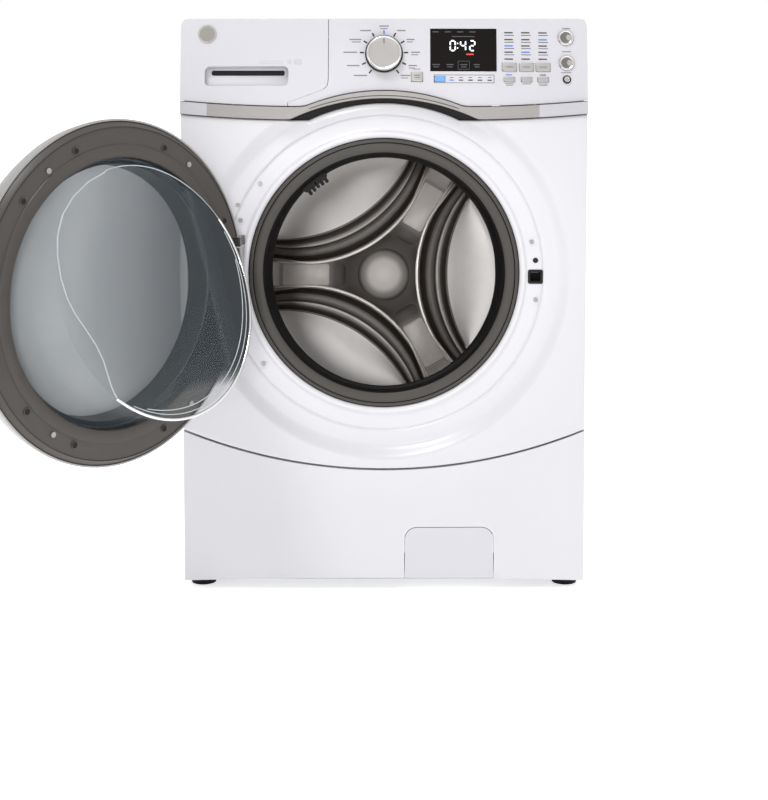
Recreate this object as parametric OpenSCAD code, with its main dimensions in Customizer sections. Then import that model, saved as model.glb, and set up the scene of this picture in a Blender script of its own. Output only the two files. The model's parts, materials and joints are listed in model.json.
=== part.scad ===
// Front load washing machine, 27-28 inch class, door standing open.
// +X is the machine's right side as seen from in front, +Y is the back, +Z is up.
// The origin is on the floor, in the middle of the cabinet's width.

/* [Cabinet] */
// Width over the cabinet sides
body_w = 711; // [690:1:730]
// Height from the floor to the top of the console
body_h = 1012; // [1000:1:1024]
// Distance from the origin forward to the side edges of the front
face_y = 390; // [385:1:400]
// Distance from the origin back to the rear of the cabinet
back_y = 380; // [370:1:400]
// How far the middle of the front bows forward of its side edges
bow = 8; // [5:0.5:12]
// Thickness of the sheet steel
sheet = 1.2; // [1:0.1:1.5]
// Height of the rubber feet
foot_h = 12; // [10:1:14]

/* [Door] */
// Height of the door opening's centre above the floor
door_z = 565; // [560:1:570]
// Outer radius of the door
door_r = 279; // [276:0.5:281]
// Distance of the hinge pin to the left of the opening's centre
hinge_x = 268; // [266:0.5:270]
// Distance of the hinge pin in front of the cabinet's side edges
hinge_out = 25; // [23:0.5:27]
// Angle at which the door stands open
open_deg = 130; // [120:1:132]
// Radius of the hole in the panel that holds the door gasket
opening_r = 250; // [248:0.5:252]
// Depth of the round recess that the door closes into
dish_depth = 12; // [10:0.5:13]

/* [Console] */
// Angle by which the console leans back
lean = 11; // [9:0.5:12]
// Height of the knob and of the console's other main row of controls
knob_z = 950; // [947:1:953]
// How far a push button travels
button_travel = 1.2; // [0.8:0.1:1.5]

/* [Wash unit] */
// Angle by which the drum's axis drops toward the back
tilt = 8.5; // [8:0.5:9]
// Radius of the drum
drum_r = 268; // [262:1:269]
// Radius of the drum's open mouth
mouth_r = 213; // [211:1:215]
// Depth of the drum from its front edge to its back plate
drum_depth = 456; // [450:1:458]
// Radius of the drum pulley
drum_pulley_r = 150; // [140:1:155]
// Radius of the motor pulley
motor_pulley_r = 12; // [11:0.5:14]

/* [Hidden] */
$fn = 96;

// Colours
WHITE = [0.94, 0.94, 0.96];
SILVER = [0.72, 0.71, 0.70];
STEEL = [0.62, 0.62, 0.63];
DARK = [0.34, 0.33, 0.31];
BLACK = [0.07, 0.07, 0.07];
PLASTIC = [0.80, 0.80, 0.78];

// General clearances
gap = 1;           // seam between two panels
run = 0.05;        // radial play of a shaft in its bore
clear = 0.5;       // air between a moving piece and its guide
far = 600;         // longer than anything it has to cut through

// Front skin: an upright cylinder of large radius, in narrow flat strips
half_w = body_w / 2;
bow_r = half_w * half_w / (2 * bow) + bow / 2;
mid_y = face_y + bow;
function bow_at(x) = bow_r - sqrt(bow_r * bow_r - x * x);
floor_y = -face_y + dish_depth;

// Edges of the silver trim band: two gentle falls that meet an arch over the door
band_side_x = 139;
band_side_r = 2333;
band_side_z = 859 + band_side_r;
band_h = 23;
arch_in_x = 164;
function side_fall(x, r) = band_side_z - sqrt(r * r - pow(abs(x) - band_side_x, 2));
function arch(x, top_z, r) = top_z - r + sqrt(r * r - x * x);
function band_top(x) = abs(x) < band_side_x ? arch(x, 887, 359) : side_fall(x, band_side_r);
function band_bottom(x) = abs(x) < arch_in_x ? arch(x, 873, 382)
  : side_fall(x, band_side_r + band_h);
function panel_top(x) = (abs(x) < 132 ? arch(x, 865.5, 305)
  : abs(x) < arch_in_x ? 835.5 : band_bottom(x)) - gap;

// Seam between the front panel and the lower panel: one wide arc
seam_mid_z = 219;
seam_side_z = 288;
seam_rise = seam_side_z - seam_mid_z;
seam_r = (half_w * half_w + seam_rise * seam_rise) / (2 * seam_rise);
seam_gap = 2.5;
function seam(x) = seam_mid_z + seam_r - sqrt(seam_r * seam_r - x * x);
// Bottom edge of the lower panel, a little higher in the middle
function hem(x) = 22 - 7 * pow(x / half_w, 2);
steps = 48;
xs = [for (i = [0:steps]) -half_w + body_w * i / steps];
backwards = [for (i = [0:steps]) half_w - body_w * i / steps];

// Console frame: x along the console, y into it, z up its leaning face
console_z = 859;
function up(z) = (z - console_z) / cos(lean);
console_top_r = 14;

console_back = -face_y + 60;
console_wall = 3;
display = [138.5, 957.5, 115, 75];
board_depth = console_wall + 9 + button_travel + 1;

// Buttons: centre x, centre z, then radius, or width and height
power_at = [318, 980, 13.7];
start_at = [319, 936, 13.4];
add_at = [319, 907, 7];
round_buttons = [power_at, start_at, add_at];
soil_at = [218.5, 928, 25, 14];
temperature_at = [248.5, 928, 25, 14];
spin_at = [277.5, 928, 25, 14];
delay_at = [218.5, 906.5, 19, 8];
steam_at = [248.5, 906.5, 19, 8];
rinse_at = [277.5, 906.5, 19, 8];
prewash_at = [57.5, 910.5, 20, 16];
boost_at = [97.2, 907, 18.5, 9];
rect_buttons = [soil_at, temperature_at, spin_at, delay_at, steam_at, rinse_at,
  prewash_at, boost_at];

// Detergent drawer, its finger grip and its housing
drawer_right = -97.5;
grip_x = -239.7;
grip_w = 146.5;
grip_z = 912.5;
grip_h = 35;
grip_depth = 16;
tray_x0 = -330;
tray_x1 = -116;
tray_z0 = 888;
tray_z1 = 962;
tray_y0 = -358;
tray_y1 = -80;
housing_z0 = 880;
outlet_x = -150;
outlet_y = -200;
outlet_r = 18;

// Back of the cabinet: water inlets, cord, drain and transit bolts
valve_xs = [-200, -130];
valve_z = 930;
cord_x = 230;
cord_z = 930;
drain_x = 250;
drain_z = 860;
transit_dx = 480;
transit_dz = 380;
transit_z = 455;
transit_r = 9;
thread_r = 13.2;
thread_out = 22;
boss_r = 215;
boss_z = door_z - 110;
foot_places = [for (x = [-326, 326], y = [-346, 346]) [x, y]];
base_h = 34;

// Screws round the door opening, as X and Z
screw_places = [[-217, 723], [-257, 686], [-252, 659], [-246.5, 466], [-255, 436],
  [-213, 404], [260, 621], [268, 518]];

// Service flap in the lower panel
flap_x0 = 37;
flap_x1 = 194;
flap_top = 113;
flap_r = 22;
flap_hinge_z = 30;
flap_hinge_y = -mid_y + 6.5;
filter_x = 115;
filter_z = 82;

// Route of the drain hose from the pump to its spigot at the back
drain_path = [[175.5, -290, filter_z], [300, -290, filter_z], [322, 0, 90], [322, 300, 90],
  [322, 345, 840], [250, 345, 860], [250, 395, 860]];
hose_r = 11;

// Wash unit frame: z runs down the drum's axis to the back, -y is up
tub_y = -312;
tub_in_r = 288;
tub_wall = 5;
tub_out_r = tub_in_r + tub_wall;
tub_joint_s = 250;
flange_w = 9;
sump_s = 84;
sump_r = tub_in_r + 36;
hub_bore_r = 22;
tub_back_s = 530;
drum_front_s = 32;
drum_back_s = drum_front_s + drum_depth;
drum_t = 1.2;
baffle_h = 48;
baffle_w = 48;
shaft_r = 15;
pulley_s = 586;
pulley_w = 16;
motor_drop = 362;
motor_r = 60;
motor_s0 = 400;
motor_s1 = 540;
baffle_angles = [0, 120, 240];

// Suspension
spring_x = 328;
spring_ys = [-190, 90];
spring_top_z = 868;
spring_low_z = 668;
spring_r = 10;
spring_wire = 4;
spring_turns = 7;
damper_x = 190;
damper_ys = [-170, 60];
damper_rod_r = 6;
damper_tube_r = 15;

// Door, drawn closed; v runs from the hinge pin's plane back toward the cabinet
hinge_y = -face_y - hinge_out;
ring_hole_r = 218;
ring_v = 30;
glass_base_r = 214;
glass_cone = 34 / 173;
glass_depth = 118;
glass_slant = 19;
glass_t = 5;
arm_dz = 60;
arm_h = 16;
pin_r = 4;
barrel_r = 8;
pocket_r = 48;
lock_x = 267;
lock_z = 559;
dish_floor_r = 300;
dish_rim_r = 327;
door_screw_angles = [55, 126, 234, 305];
door_screw_r = 248;
gasket_in_r = 211;
gasket_face_v = 32.5;
gasket_depth = 30;
sleeve_r = 226;

// ---------------------------------------------------------------- shared shapes

// A solid that fills everything behind the bowed front skin, set in by t
module behind_skin(t = 0) {
  translate([0, 0, -50]) linear_extrude(2 * far) polygon(concat(
    [for (x = xs) [x, -mid_y + bow_at(x) + t]], [[half_w, far], [-half_w, far]]));
}

// An outline in X and Z, pushed through from y0 to y1
module push_y(y0, y1) {
  translate([0, y1, 0]) rotate([90, 0, 0]) linear_extrude(y1 - y0) children();
}

module on_console(x = 0, z = console_z) {
  translate([0, -mid_y, console_z]) rotate([-lean, 0, 0])
    translate([x, bow_at(x), up(z)]) children();
}

// A round shape standing on the console's face, its axis pointing out of it
module on_console_out(x, z) {
  on_console(x, z) rotate([90, 0, 0]) children();
}

module tub_frame() {
  translate([0, tub_y, door_z]) rotate([-tilt, 0, 0]) rotate([-90, 0, 0]) children();
}

// A ring whose section is given as [radius, depth] points, about the door opening's axis
module door_axis(y = 0) {
  translate([0, y, door_z]) rotate([-90, 0, 0]) children();
}

module opened() {
  translate([-hinge_x, hinge_y, 0]) rotate([0, 0, -open_deg])
    translate([hinge_x, -hinge_y, 0]) children();
}

module tube(r_out, r_in, h) {
  difference() {
    cylinder(r = r_out, h = h);
    translate([0, 0, -1]) cylinder(r = r_in, h = h + 2);
  }
}

module rounded(w, h, r) {
  hull() for (x = [-1, 1], y = [-1, 1])
    translate([x * (w / 2 - r), y * (h / 2 - r)]) circle(r, $fn = 32);
}

// ---------------------------------------------------------------- cabinet

module cabinet_shell() color(WHITE) {
  side_y0 = -face_y + 22;
  z0 = foot_h + 6;
  flange_z0 = foot_h + 34.5;
  z1 = body_h - 26;
  difference() {
    for (s = [-1, 1]) {
      // side wall
      translate([s * (half_w - sheet / 2), (side_y0 + back_y) / 2, (z0 + z1) / 2])
        cube([sheet, back_y - side_y0, z1 - z0], center = true);
      // front and rear flanges folded inward
      for (y = [side_y0 + sheet / 2, back_y - sheet / 2])
        translate([s * (half_w - 9), y, (flange_z0 + z1) / 2])
          cube([18, sheet, z1 - flange_z0], center = true);
      // ledge that carries the springs
      translate([s * (half_w - 24), -50, spring_top_z + 1.5])
        cube([48, 420, 3], center = true);
    }
    // the console's ends take the place of the upper front corners
    translate([-half_w - 1, -face_y, 857]) cube([body_w + 2, console_back + face_y + 0.5, 200]);
  }
}

module top_panel() color(WHITE) {
  y0 = console_back + 0.5;
  z0 = body_h - 24;
  difference() {
    translate([-half_w, y0, z0]) cube([body_w, back_y - y0 + 4, 24]);
    translate([-half_w + sheet, y0 + sheet, z0 - 1])
      cube([body_w - 2 * sheet, back_y - y0 + 4 - 2 * sheet, 25 - sheet]);
  }
}

module rear_panel() color(STEEL) {
  difference() {
    union() {
      translate([-half_w + 20, back_y - 4, foot_h + 40])
        cube([body_w - 40, sheet, body_h - foot_h - 70]);
      // pressed boss that covers the drum pulley
      translate([0, back_y - 4, boss_z]) rotate([-90, 0, 0]) cylinder(r = boss_r, h = 14);
    }
    translate([0, back_y - 5, boss_z]) rotate([-90, 0, 0])
      cylinder(r = boss_r - sheet, h = 15 - sheet);
    for (x = valve_xs) translate([x, back_y - 10, valve_z]) rotate([-90, 0, 0])
      cylinder(r = 17, h = 20);
    translate([cord_x, back_y - 10, cord_z]) rotate([-90, 0, 0]) cylinder(r = 12.2, h = 20);
    translate([drain_x, back_y - 10, drain_z]) rotate([-90, 0, 0]) cylinder(r = 17, h = 20);
    // transit bolts
    for (x = [-1, 1], z = [-1, 1])
      translate([x * transit_dx / 2, back_y - 10, transit_z + z * transit_dz / 2])
        rotate([-90, 0, 0]) cylinder(r = transit_r, h = 20);
  }
}

module base_frame() color(SILVER) {
  z0 = foot_h;
  h = base_h;
  y0 = -face_y + 18;
  w = body_w - 8;
  d = back_y - 8 - y0;
  difference() {
    translate([-w / 2, y0, z0]) cube([w, d, h]);
    // the middle is open
    translate([-w / 2 + 46, y0 + 46, z0 - 1]) cube([w - 92, d - 92, h + 2]);
    // rails are channels, open below
    difference() {
      translate([-w / 2 + 2, y0 + 2, z0 - 1]) cube([w - 4, d - 4, h - 1]);
      translate([-w / 2 + 44, y0 + 44, z0 - 2]) cube([w - 88, d - 88, h + 4]);
    }
    for (p = foot_places) translate([p[0], p[1], 0]) cylinder(r = 5.05, h = 60);
  }
  // cross plates under the dampers
  for (y = damper_ys) difference() {
    translate([-w / 2 + 44, y - 22, z0 + h - 3]) cube([w - 88, 44, 3]);
    for (s = [-1, 1]) translate([s * damper_x, y, z0]) cylinder(r = 5, h = 60);
  }
}

module leveling_feet() color(BLACK) {
  for (p = foot_places) translate([p[0], p[1], 0]) {
    rotate_extrude() polygon([[0, 0], [22, 0], [22, 7], [17, foot_h - 1], [0, foot_h - 1]]);
    cylinder(r = 5, h = 58);
    // lock nut under the rail's top
    translate([0, 0, foot_h + 25.5]) cylinder(r = 9, h = 6, $fn = 6);
  }
}

// The round recess for the door, grown by t
module dish(t = 0) {
  door_axis(-mid_y - 10) rotate_extrude()
    polygon([[0, -10], [dish_rim_r + t + 22, -10], [dish_rim_r + t, bow + 8 + t],
      [dish_floor_r + t, mid_y + 10 + floor_y + t], [0, mid_y + 10 + floor_y + t]]);
}

module front_outline(t = 0) {
  polygon(concat(
    [for (x = xs) [x * (1 - t / half_w), seam(x) + t]],
    [for (x = backwards) [x * (1 - t / half_w), panel_top(x) - t]]));
}

module front_block(t = 0) {
  difference() {
    intersection() {
      push_y(-mid_y - 20, -face_y + 20 + (t > 0 ? 10 : 0)) front_outline(t);
      behind_skin(t);
    }
    dish(t);
  }
}

module front_panel() color(WHITE) {
  difference() {
    union() {
      difference() {
        front_block();
        front_block(sheet);
      }
      // lip that the gasket clips over
      door_axis(floor_y) tube(opening_r + sheet, opening_r, 12);
    }
    door_axis(floor_y - 40) cylinder(r = opening_r, h = 80);
    // slot for the door's latch
    translate([lock_x, floor_y, lock_z]) cube([28, 30, 26], center = true);
    translate([lock_x, floor_y - 10, lock_z + 29]) rotate([-90, 0, 0]) cylinder(r = 5.4, h = 30);
  }
}

module lower_outline(t = 0) {
  polygon(concat(
    [for (x = xs) [x * (1 - t / half_w), hem(x) + (t > 0 ? -5 : 0)]],
    [for (x = backwards) [x * (1 - t / half_w), seam(x) - seam_gap - t]]));
}

module flap_outline(grow = 0) {
  union() {
    translate([flap_x0 - grow, 10]) square([flap_x1 - flap_x0 + 2 * grow, flap_top - 10 - flap_r]);
    hull() for (x = [flap_x0 + flap_r, flap_x1 - flap_r])
      translate([x, flap_top - flap_r]) circle(flap_r + grow, $fn = 64);
  }
}

module lower_panel() color(WHITE) {
  difference() {
    intersection() {
      push_y(-mid_y - 20, -face_y + 14) lower_outline();
      behind_skin();
    }
    intersection() {
      push_y(-mid_y - 20, -face_y + 30) lower_outline(sheet);
      behind_skin(sheet);
    }
    push_y(-mid_y - 20, -face_y + 40) flap_outline(gap);
  }
}

// Block behind the leaning console face, with its two top corners rounded
module console_block(t = 0) {
  intersection() {
    translate([0, -mid_y, console_z]) rotate([-lean, 0, 0])
      translate([0, mid_y, -console_z]) behind_skin(t);
    push_y(-mid_y - 20, console_back + (t > 0 ? 10 : 0)) union() {
      translate([-half_w + t, 800])
        square([body_w - 2 * t, body_h - console_top_r - 800]);
      hull() for (s = [-1, 1]) translate([s * (half_w - console_top_r), body_h - console_top_r])
        circle(console_top_r - t, $fn = 48);
    }
  }
}

// Everything above the trim band
module above_band(lift) {
  ends = half_w + 40;
  push_y(-far, far) polygon(concat(
    [[-ends, band_top(half_w) + lift]], [for (x = xs) [x, band_top(x) + lift]],
    [[ends, band_top(half_w) + lift], [ends, body_h + 90], [-ends, body_h + 90]]));
}

// The drawer's share of the console, with its slanting lower right corner
module drawer_region(grow = 0) {
  push_y(-far, far) polygon([[-half_w - 20, 800], [-168 + grow, 852],
    [-168 + grow, 866], [-106 + grow, 889], [-99 + grow, 896], [drawer_right + grow, 907],
    [drawer_right + grow, body_h + 90], [-half_w - 20, body_h + 90]]);
}

module console_skin() {
  difference() {
    intersection() { console_block(); above_band(gap); }
    intersection() { console_block(console_wall); above_band(gap + console_wall); }
  }
}

module console_fascia() color(WHITE) {
  difference() {
    console_skin();
    drawer_region(gap);
    // display opening
    on_console(display[0], display[1]) cube([display[2] + 1, 20, display[3] + 1], center = true);
    // knob shaft
    on_console_out(0, knob_z) translate([0, 0, -15]) cylinder(r = 4 + run, h = 40);
    for (b = round_buttons) on_console_out(b[0], b[1]) translate([0, 0, -15])
      cylinder(r = b[2] + clear, h = 40);
    for (b = rect_buttons) on_console(b[0], b[1])
      cube([b[2] + 2 * clear, 20, b[3] + 2 * clear], center = true);
  }
}

module round_button(b) {
  on_console_out(b[0], b[1]) {
    translate([0, 0, -console_wall - 4]) cylinder(r = b[2], h = console_wall + 6);
    translate([0, 0, -console_wall - 9]) cylinder(r = 3, h = 6);
  }
}

module rect_button(b) {
  on_console_out(b[0], b[1]) {
    translate([0, 0, -console_wall - 4]) linear_extrude(console_wall + 5.5)
      rounded(b[2], b[3], 2.5);
    translate([0, 0, -console_wall - 9]) cylinder(r = 2, h = 6);
  }
}

module trim_band() color(SILVER) {
  intersection() {
    push_y(-mid_y - 20, -face_y + 14) polygon(concat(
      [for (x = xs) [x, band_bottom(x)]], [for (x = backwards) [x, band_top(x)]]));
    translate([0, -3, 0]) behind_skin();
  }
}

module display_window() color(BLACK) {
  on_console(display[0], display[1]) translate([0, 2.4, 0]) rotate([90, 0, 0])
    linear_extrude(2) rounded(display[2], display[3], 4);
}

module control_board() color([0.15, 0.4, 0.25]) {
  on_console(120, 941) translate([0, board_depth + 7, 0]) cube([440, 2, 84], center = true);
}

module dispenser_housing() color(PLASTIC) {
  x0 = -338;
  x1 = -108;
  z0 = housing_z0;
  z1 = 976;
  y0 = -330;
  y1 = -60;
  difference() {
    translate([x0, y0, z0]) cube([x1 - x0, y1 - y0, z1 - z0]);
    translate([x0 + 3, y0 - 1, z0 + 3]) cube([x1 - x0 - 6, y1 - y0 - 2, z1 - z0 - 6]);
    translate([outlet_x, outlet_y, z0 - 1]) cylinder(r = outlet_r, h = 8);
  }
  // water inlet stubs at the back
  for (x = [-280, -180]) translate([x, y1 - 0.1, z1 - 20]) rotate([-90, 0, 0])
    tube(8, 6, 16.1);
}

module inlet_valves() color(PLASTIC) {
  for (x = valve_xs) {
    // body, thread and hose stub of each valve
    difference() {
      union() {
        translate([x - 15, back_y - 60, valve_z - 15]) cube([30, 50, 30]);
        // collar through the panel, then the thread
        translate([x, back_y - 12, valve_z]) rotate([-90, 0, 0])
          cylinder(r = thread_r + 2, h = 12);
        translate([x, back_y - 1, valve_z]) rotate([-90, 0, 0])
          cylinder(r = thread_r, h = 1 + thread_out);
        translate([x, back_y - 70, valve_z]) rotate([-90, 0, 0]) cylinder(r = 8, h = 12);
      }
      translate([x, back_y - 71, valve_z]) rotate([-90, 0, 0])
        cylinder(r = 6, h = 71 + thread_out + 1);
    }
    // coil
    translate([x, back_y - 40, valve_z + 15]) cylinder(r = 11, h = 24);
  }
}

module cord_gland() color(BLACK) {
  translate([cord_x, back_y - 12, cord_z]) rotate([-90, 0, 0]) difference() {
    union() {
      cylinder(r = 12, h = 22);
      translate([0, 0, 10.5]) cylinder(r = 16, h = 4);
      translate([0, 0, 4]) cylinder(r = 15, h = 3);
    }
    translate([0, 0, -1]) cylinder(r = 4.5, h = 30);
  }
}

module door_lock() color(BLACK) {
  difference() {
    translate([lock_x - 15, floor_y + 2, lock_z - 45]) cube([40, 36, 80]);
    translate([lock_x - 12, floor_y + 1, lock_z - 11]) cube([24, 28, 22]);
  }
}

module hinge_bracket() color(SILVER) {
  leg_x = -hinge_x + 14;
  leg_w = 5;
  for (s = [-1, 1]) translate([0, 0, door_z + s * arm_dz - arm_h / 2]) {
    // foot on the panel, leg forward, leg across to the pin
    translate([leg_x - 1, floor_y - 3, 0]) cube([2 * leg_w, 3, arm_h]);
    translate([leg_x, hinge_y - barrel_r, 0])
      cube([leg_w, floor_y - hinge_y + barrel_r, arm_h]);
    translate([-hinge_x, hinge_y - barrel_r, 0]) cube([leg_x + leg_w + hinge_x, leg_w, arm_h]);
    translate([-hinge_x, hinge_y, 0]) cylinder(r = barrel_r, h = arm_h);
  }
  translate([-hinge_x, hinge_y, door_z - arm_dz]) cylinder(r = pin_r, h = 2 * arm_dz);
}

module door_gasket() color(DARK) {
  face = hinge_y + gasket_face_v;
  lip_v = floor_y - face - 0.4;
  door_axis(face) rotate_extrude() polygon([[gasket_in_r, 2], [gasket_in_r + 6, 0],
    [240, 0], [opening_r - 3, 3], [opening_r - 0.4, lip_v],
    [opening_r - 0.4, 18], [opening_r - 5, 18], [opening_r - 6, 5],
    [gasket_in_r + 4, 5], [gasket_in_r + 4, gasket_depth], [gasket_in_r, gasket_depth]]);
  // sleeve that reaches back to the tilted tub, and the band that grips the tub's neck
  difference() {
    door_axis(face + 3) tube(sleeve_r, sleeve_r - 5, 140);
    tub_frame() translate([0, 0, far / 2 - 3]) cube(far, center = true);
  }
  tub_frame() rotate_extrude() polygon([[217, -7], [233, -7], [233, 12], [222.5, 12],
    [222.5, -0.5], [217, -0.5]]);
}

module drain_pump() color(PLASTIC) {
  difference() {
    union() {
      translate([filter_x, -face_y + 34, filter_z]) rotate([-90, 0, 0])
        cylinder(r = 34, h = 100);
      translate([filter_x, -face_y + 134, filter_z]) rotate([-90, 0, 0])
        cylinder(r = 26, h = 60);
      // outlet to the drain hose and inlet from the tub
      translate([filter_x + 20, -face_y + 100, filter_z]) rotate([0, 90, 0])
        cylinder(r = 11, h = 40);
      translate([filter_x - 60, -face_y + 90, filter_z + 10]) rotate([0, 90, 0])
        cylinder(r = 16, h = 40);
    }
    translate([filter_x, -face_y + 33, filter_z]) rotate([-90, 0, 0]) cylinder(r = 30, h = 80);
  }
  // foot on the base rail
  translate([filter_x - 30, -face_y + 36, foot_h + base_h + 0.2]) cube([60, 60, 5]);
}

// A round tube swept along a route, as one closed skin with a ring at each point
function toward(a, b) = (b - a) / norm(b - a);
function heading(p, i) = i == 0 ? toward(p[0], p[1])
  : i == len(p) - 1 ? toward(p[i - 1], p[i])
  : toward([0, 0, 0], toward(p[i - 1], p[i]) + toward(p[i], p[i + 1]));
function side(d, ref) = toward([0, 0, 0], cross(d, ref));
function ring(c, d, ref, r, n) = let(u = side(d, ref), v = cross(u, d))
  [for (k = [0:n - 1]) c + r * (cos(360 * k / n) * u + sin(360 * k / n) * v)];
module sweep(p, r, n = 10, ref = [0.1, 0.2, 1]) {
  last = len(p) - 1;
  polyhedron(
    points = [for (i = [0:last]) each ring(p[i], heading(p, i), ref, r, n)],
    faces = concat(
      [[for (k = [0:n - 1]) k]],
      [for (i = [0:last - 1], k = [0:n - 1])
        [i * n + k, (i + 1) * n + k, (i + 1) * n + (k + 1) % n, i * n + (k + 1) % n]],
      [[for (k = [n - 1:-1:0]) last * n + k]]));
}
// A route through corner points, each turned by a curve that starts and ends bend short of it
function curve(a, b, c, t) = (1 - t) * (1 - t) * a + 2 * t * (1 - t) * b + t * t * c;
function route(p, bend) = concat([p[0]],
  [for (i = [1:len(p) - 2]) let(
    a = p[i] + toward(p[i], p[i - 1]) * bend, c = p[i] + toward(p[i], p[i + 1]) * bend)
    each [for (t = [0:0.25:1]) curve(a, p[i], c, t)]],
  [p[len(p) - 1]]);

module water_hoses() color(DARK) {
  sweep(route(drain_path, 18), hose_r, ref = [1, 0.3, 0.2]);
  for (p = [[valve_xs[0], -280], [valve_xs[1], -180]])
    sweep(route([[p[0], back_y - 70.5, valve_z], [p[0], back_y - 120, valve_z],
      [p[1], 10, 956], [p[1], -43.5, 956]], 20), 8);
}

module suspension_springs() color(STEEL) {
  n = 8 * spring_turns;
  rise = spring_top_z - spring_low_z - 12;
  // the coil's radius grows from nothing over its first and last half turn
  coils = [for (i = [0:n]) let(r = spring_r * min(1, i / 4, (n - i) / 4))
    [r * cos(45 * i), r * sin(45 * i), spring_low_z + 6 + rise * i / n]];
  wire = concat([[0, 0, spring_low_z]], coils, [[0, 0, spring_top_z]]);
  for (s = [-1, 1], y = spring_ys)
    translate([s * spring_x, y, 0]) sweep(wire, spring_wire / 2, 6, [0.1, 0.2, 1]);
}

module damper_cylinders() color(DARK) {
  for (s = [-1, 1], y = damper_ys) translate([s * damper_x, y, foot_h + base_h]) {
    difference() {
      cylinder(r = damper_tube_r, h = 150);
      translate([0, 0, 12]) cylinder(r = damper_tube_r - 3, h = 130);
      cylinder(r = damper_rod_r + run, h = 200);
    }
  }
}

module panel_screws() color(SILVER) {
  for (p = screw_places) translate([p[0], floor_y - 2.6, p[1]]) rotate([-90, 0, 0])
    cylinder(r = 4, h = 2.6);
}

module bellows_hoses() color(DARK) {
  // dispenser to tub
  difference() {
    translate([outlet_x, outlet_y, door_z]) tube(outlet_r + 2, outlet_r - 2,
      housing_z0 - door_z - clear);
    tub_frame() cylinder(r = tub_out_r + clear, h = tub_back_s);
  }
  // tub sump to pump
  elbow = [0, -face_y + 90, filter_z + 10];
  translate(elbow - [16, 0, 0]) rotate([0, 90, 0]) cylinder(r = 16, h = filter_x - 44.5);
  hull() {
    translate(elbow) sphere(15.9, $fn = 32);
    tub_frame() translate([0, sump_r + 1, sump_s]) rotate([-90, 0, 0])
      cylinder(r = 15.9, h = 2, $fn = 32);
  }
}

// ---------------------------------------------------------------- wash unit

module tub_front() color(PLASTIC) tub_frame() {
  difference() {
    rotate_extrude() polygon([[216, 0], [222, 0], [222, 20], [tub_out_r - 10, 34],
      [tub_out_r, 50], [tub_out_r, tub_joint_s - 10], [tub_out_r + flange_w, tub_joint_s - 8],
      [tub_out_r + flange_w, tub_joint_s], [tub_in_r, tub_joint_s], [tub_in_r, 52],
      [tub_in_r - 8, 38], [216, 25]]);
    translate([0, tub_in_r - 10, sump_s]) rotate([-90, 0, 0]) cylinder(r = 14, h = 20);
  }
  // sump under the drum
  translate([0, tub_in_r - 1, sump_s]) rotate([-90, 0, 0]) tube(22, 14, 36);
  spring_ears(spring_ys[0]);
}

// Ears on both sides of the tub that hang from the springs, reaching just into its wall
function ear_rise(y) = (spring_low_z - door_z) * cos(tilt) + (y - tub_y) * sin(tilt);
function ear_x(y) = sqrt(tub_out_r * tub_out_r - ear_rise(y) * ear_rise(y)) - 3;
module spring_ears(y) {
  rotate([90, 0, 0]) rotate([tilt, 0, 0]) translate([0, -tub_y, -door_z])
    for (s = [-1, 1]) translate([s * (spring_x + 14 + ear_x(y)) / 2, y, spring_low_z - 5])
      cube([spring_x + 14 - ear_x(y), 30, 9], center = true);
}

module tub_rear() color(PLASTIC) tub_frame() {
  difference() {
    union() {
      rotate_extrude() polygon([[0, tub_back_s - 6], [tub_in_r, tub_back_s - 6],
        [tub_in_r, tub_joint_s + gap / 2], [tub_out_r + flange_w, tub_joint_s + gap / 2],
        [tub_out_r + flange_w, tub_joint_s + 8], [tub_out_r, tub_joint_s + 10],
        [tub_out_r, tub_back_s], [0, tub_back_s]]);
      // bearing hub and its ribs
      translate([0, 0, tub_back_s - 14]) cylinder(r = 46, h = 66);
      for (a = [0:30:330]) rotate([0, 0, a]) translate([40, -2.5, tub_back_s - 1])
        cube([tub_in_r - 60, 5, 20]);
    }
    // bores for the two bearings and the shaft
    translate([0, 0, tub_back_s - 15]) cylinder(r = 31, h = 19);
    translate([0, 0, tub_back_s + 34]) cylinder(r = 26, h = 30);
    translate([0, 0, tub_back_s - 20]) cylinder(r = hub_bore_r, h = 90);
  }
  spring_ears(spring_ys[1]);
}

module counterweights() color([0.45, 0.45, 0.44]) tub_frame() {
  // two concrete crescents beside the mouth
  for (a = [0, 180]) rotate([0, 0, a - 32]) rotate_extrude(angle = 64)
    polygon([[234, -14], [284, -14], [284, 20], [274, 27], [234, 17.5]]);
  // block on top of the tub
  difference() {
    translate([-110, -338, 330]) cube([220, 90, 150]);
    translate([0, 0, 320]) cylinder(r = tub_out_r, h = 180);
  }
}

module drum_bearings() color(STEEL) tub_frame() {
  translate([0, 0, tub_back_s - 14]) tube(31, shaft_r, 16);
  translate([0, 0, tub_back_s + 35]) tube(26, shaft_r, 15);
}

module motor_housing() color([0.3, 0.3, 0.32]) tub_frame() {
  translate([0, motor_drop, motor_s0]) difference() {
    union() {
      cylinder(r = motor_r, h = motor_s1 - motor_s0);
      // lugs bolted under the tub
      for (z = [18, motor_s1 - motor_s0 - 38]) difference() {
        translate([-40, -motor_drop + tub_out_r - 12, z]) cube([80, 40, 20]);
        translate([0, -motor_drop, z - 1]) cylinder(r = tub_out_r, h = 22);
      }
    }
    translate([0, 0, 8]) cylinder(r = 42, h = motor_s1 - motor_s0 - 16);
    translate([0, 0, -1]) cylinder(r = 8 + run, h = 200);
  }
}

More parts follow.
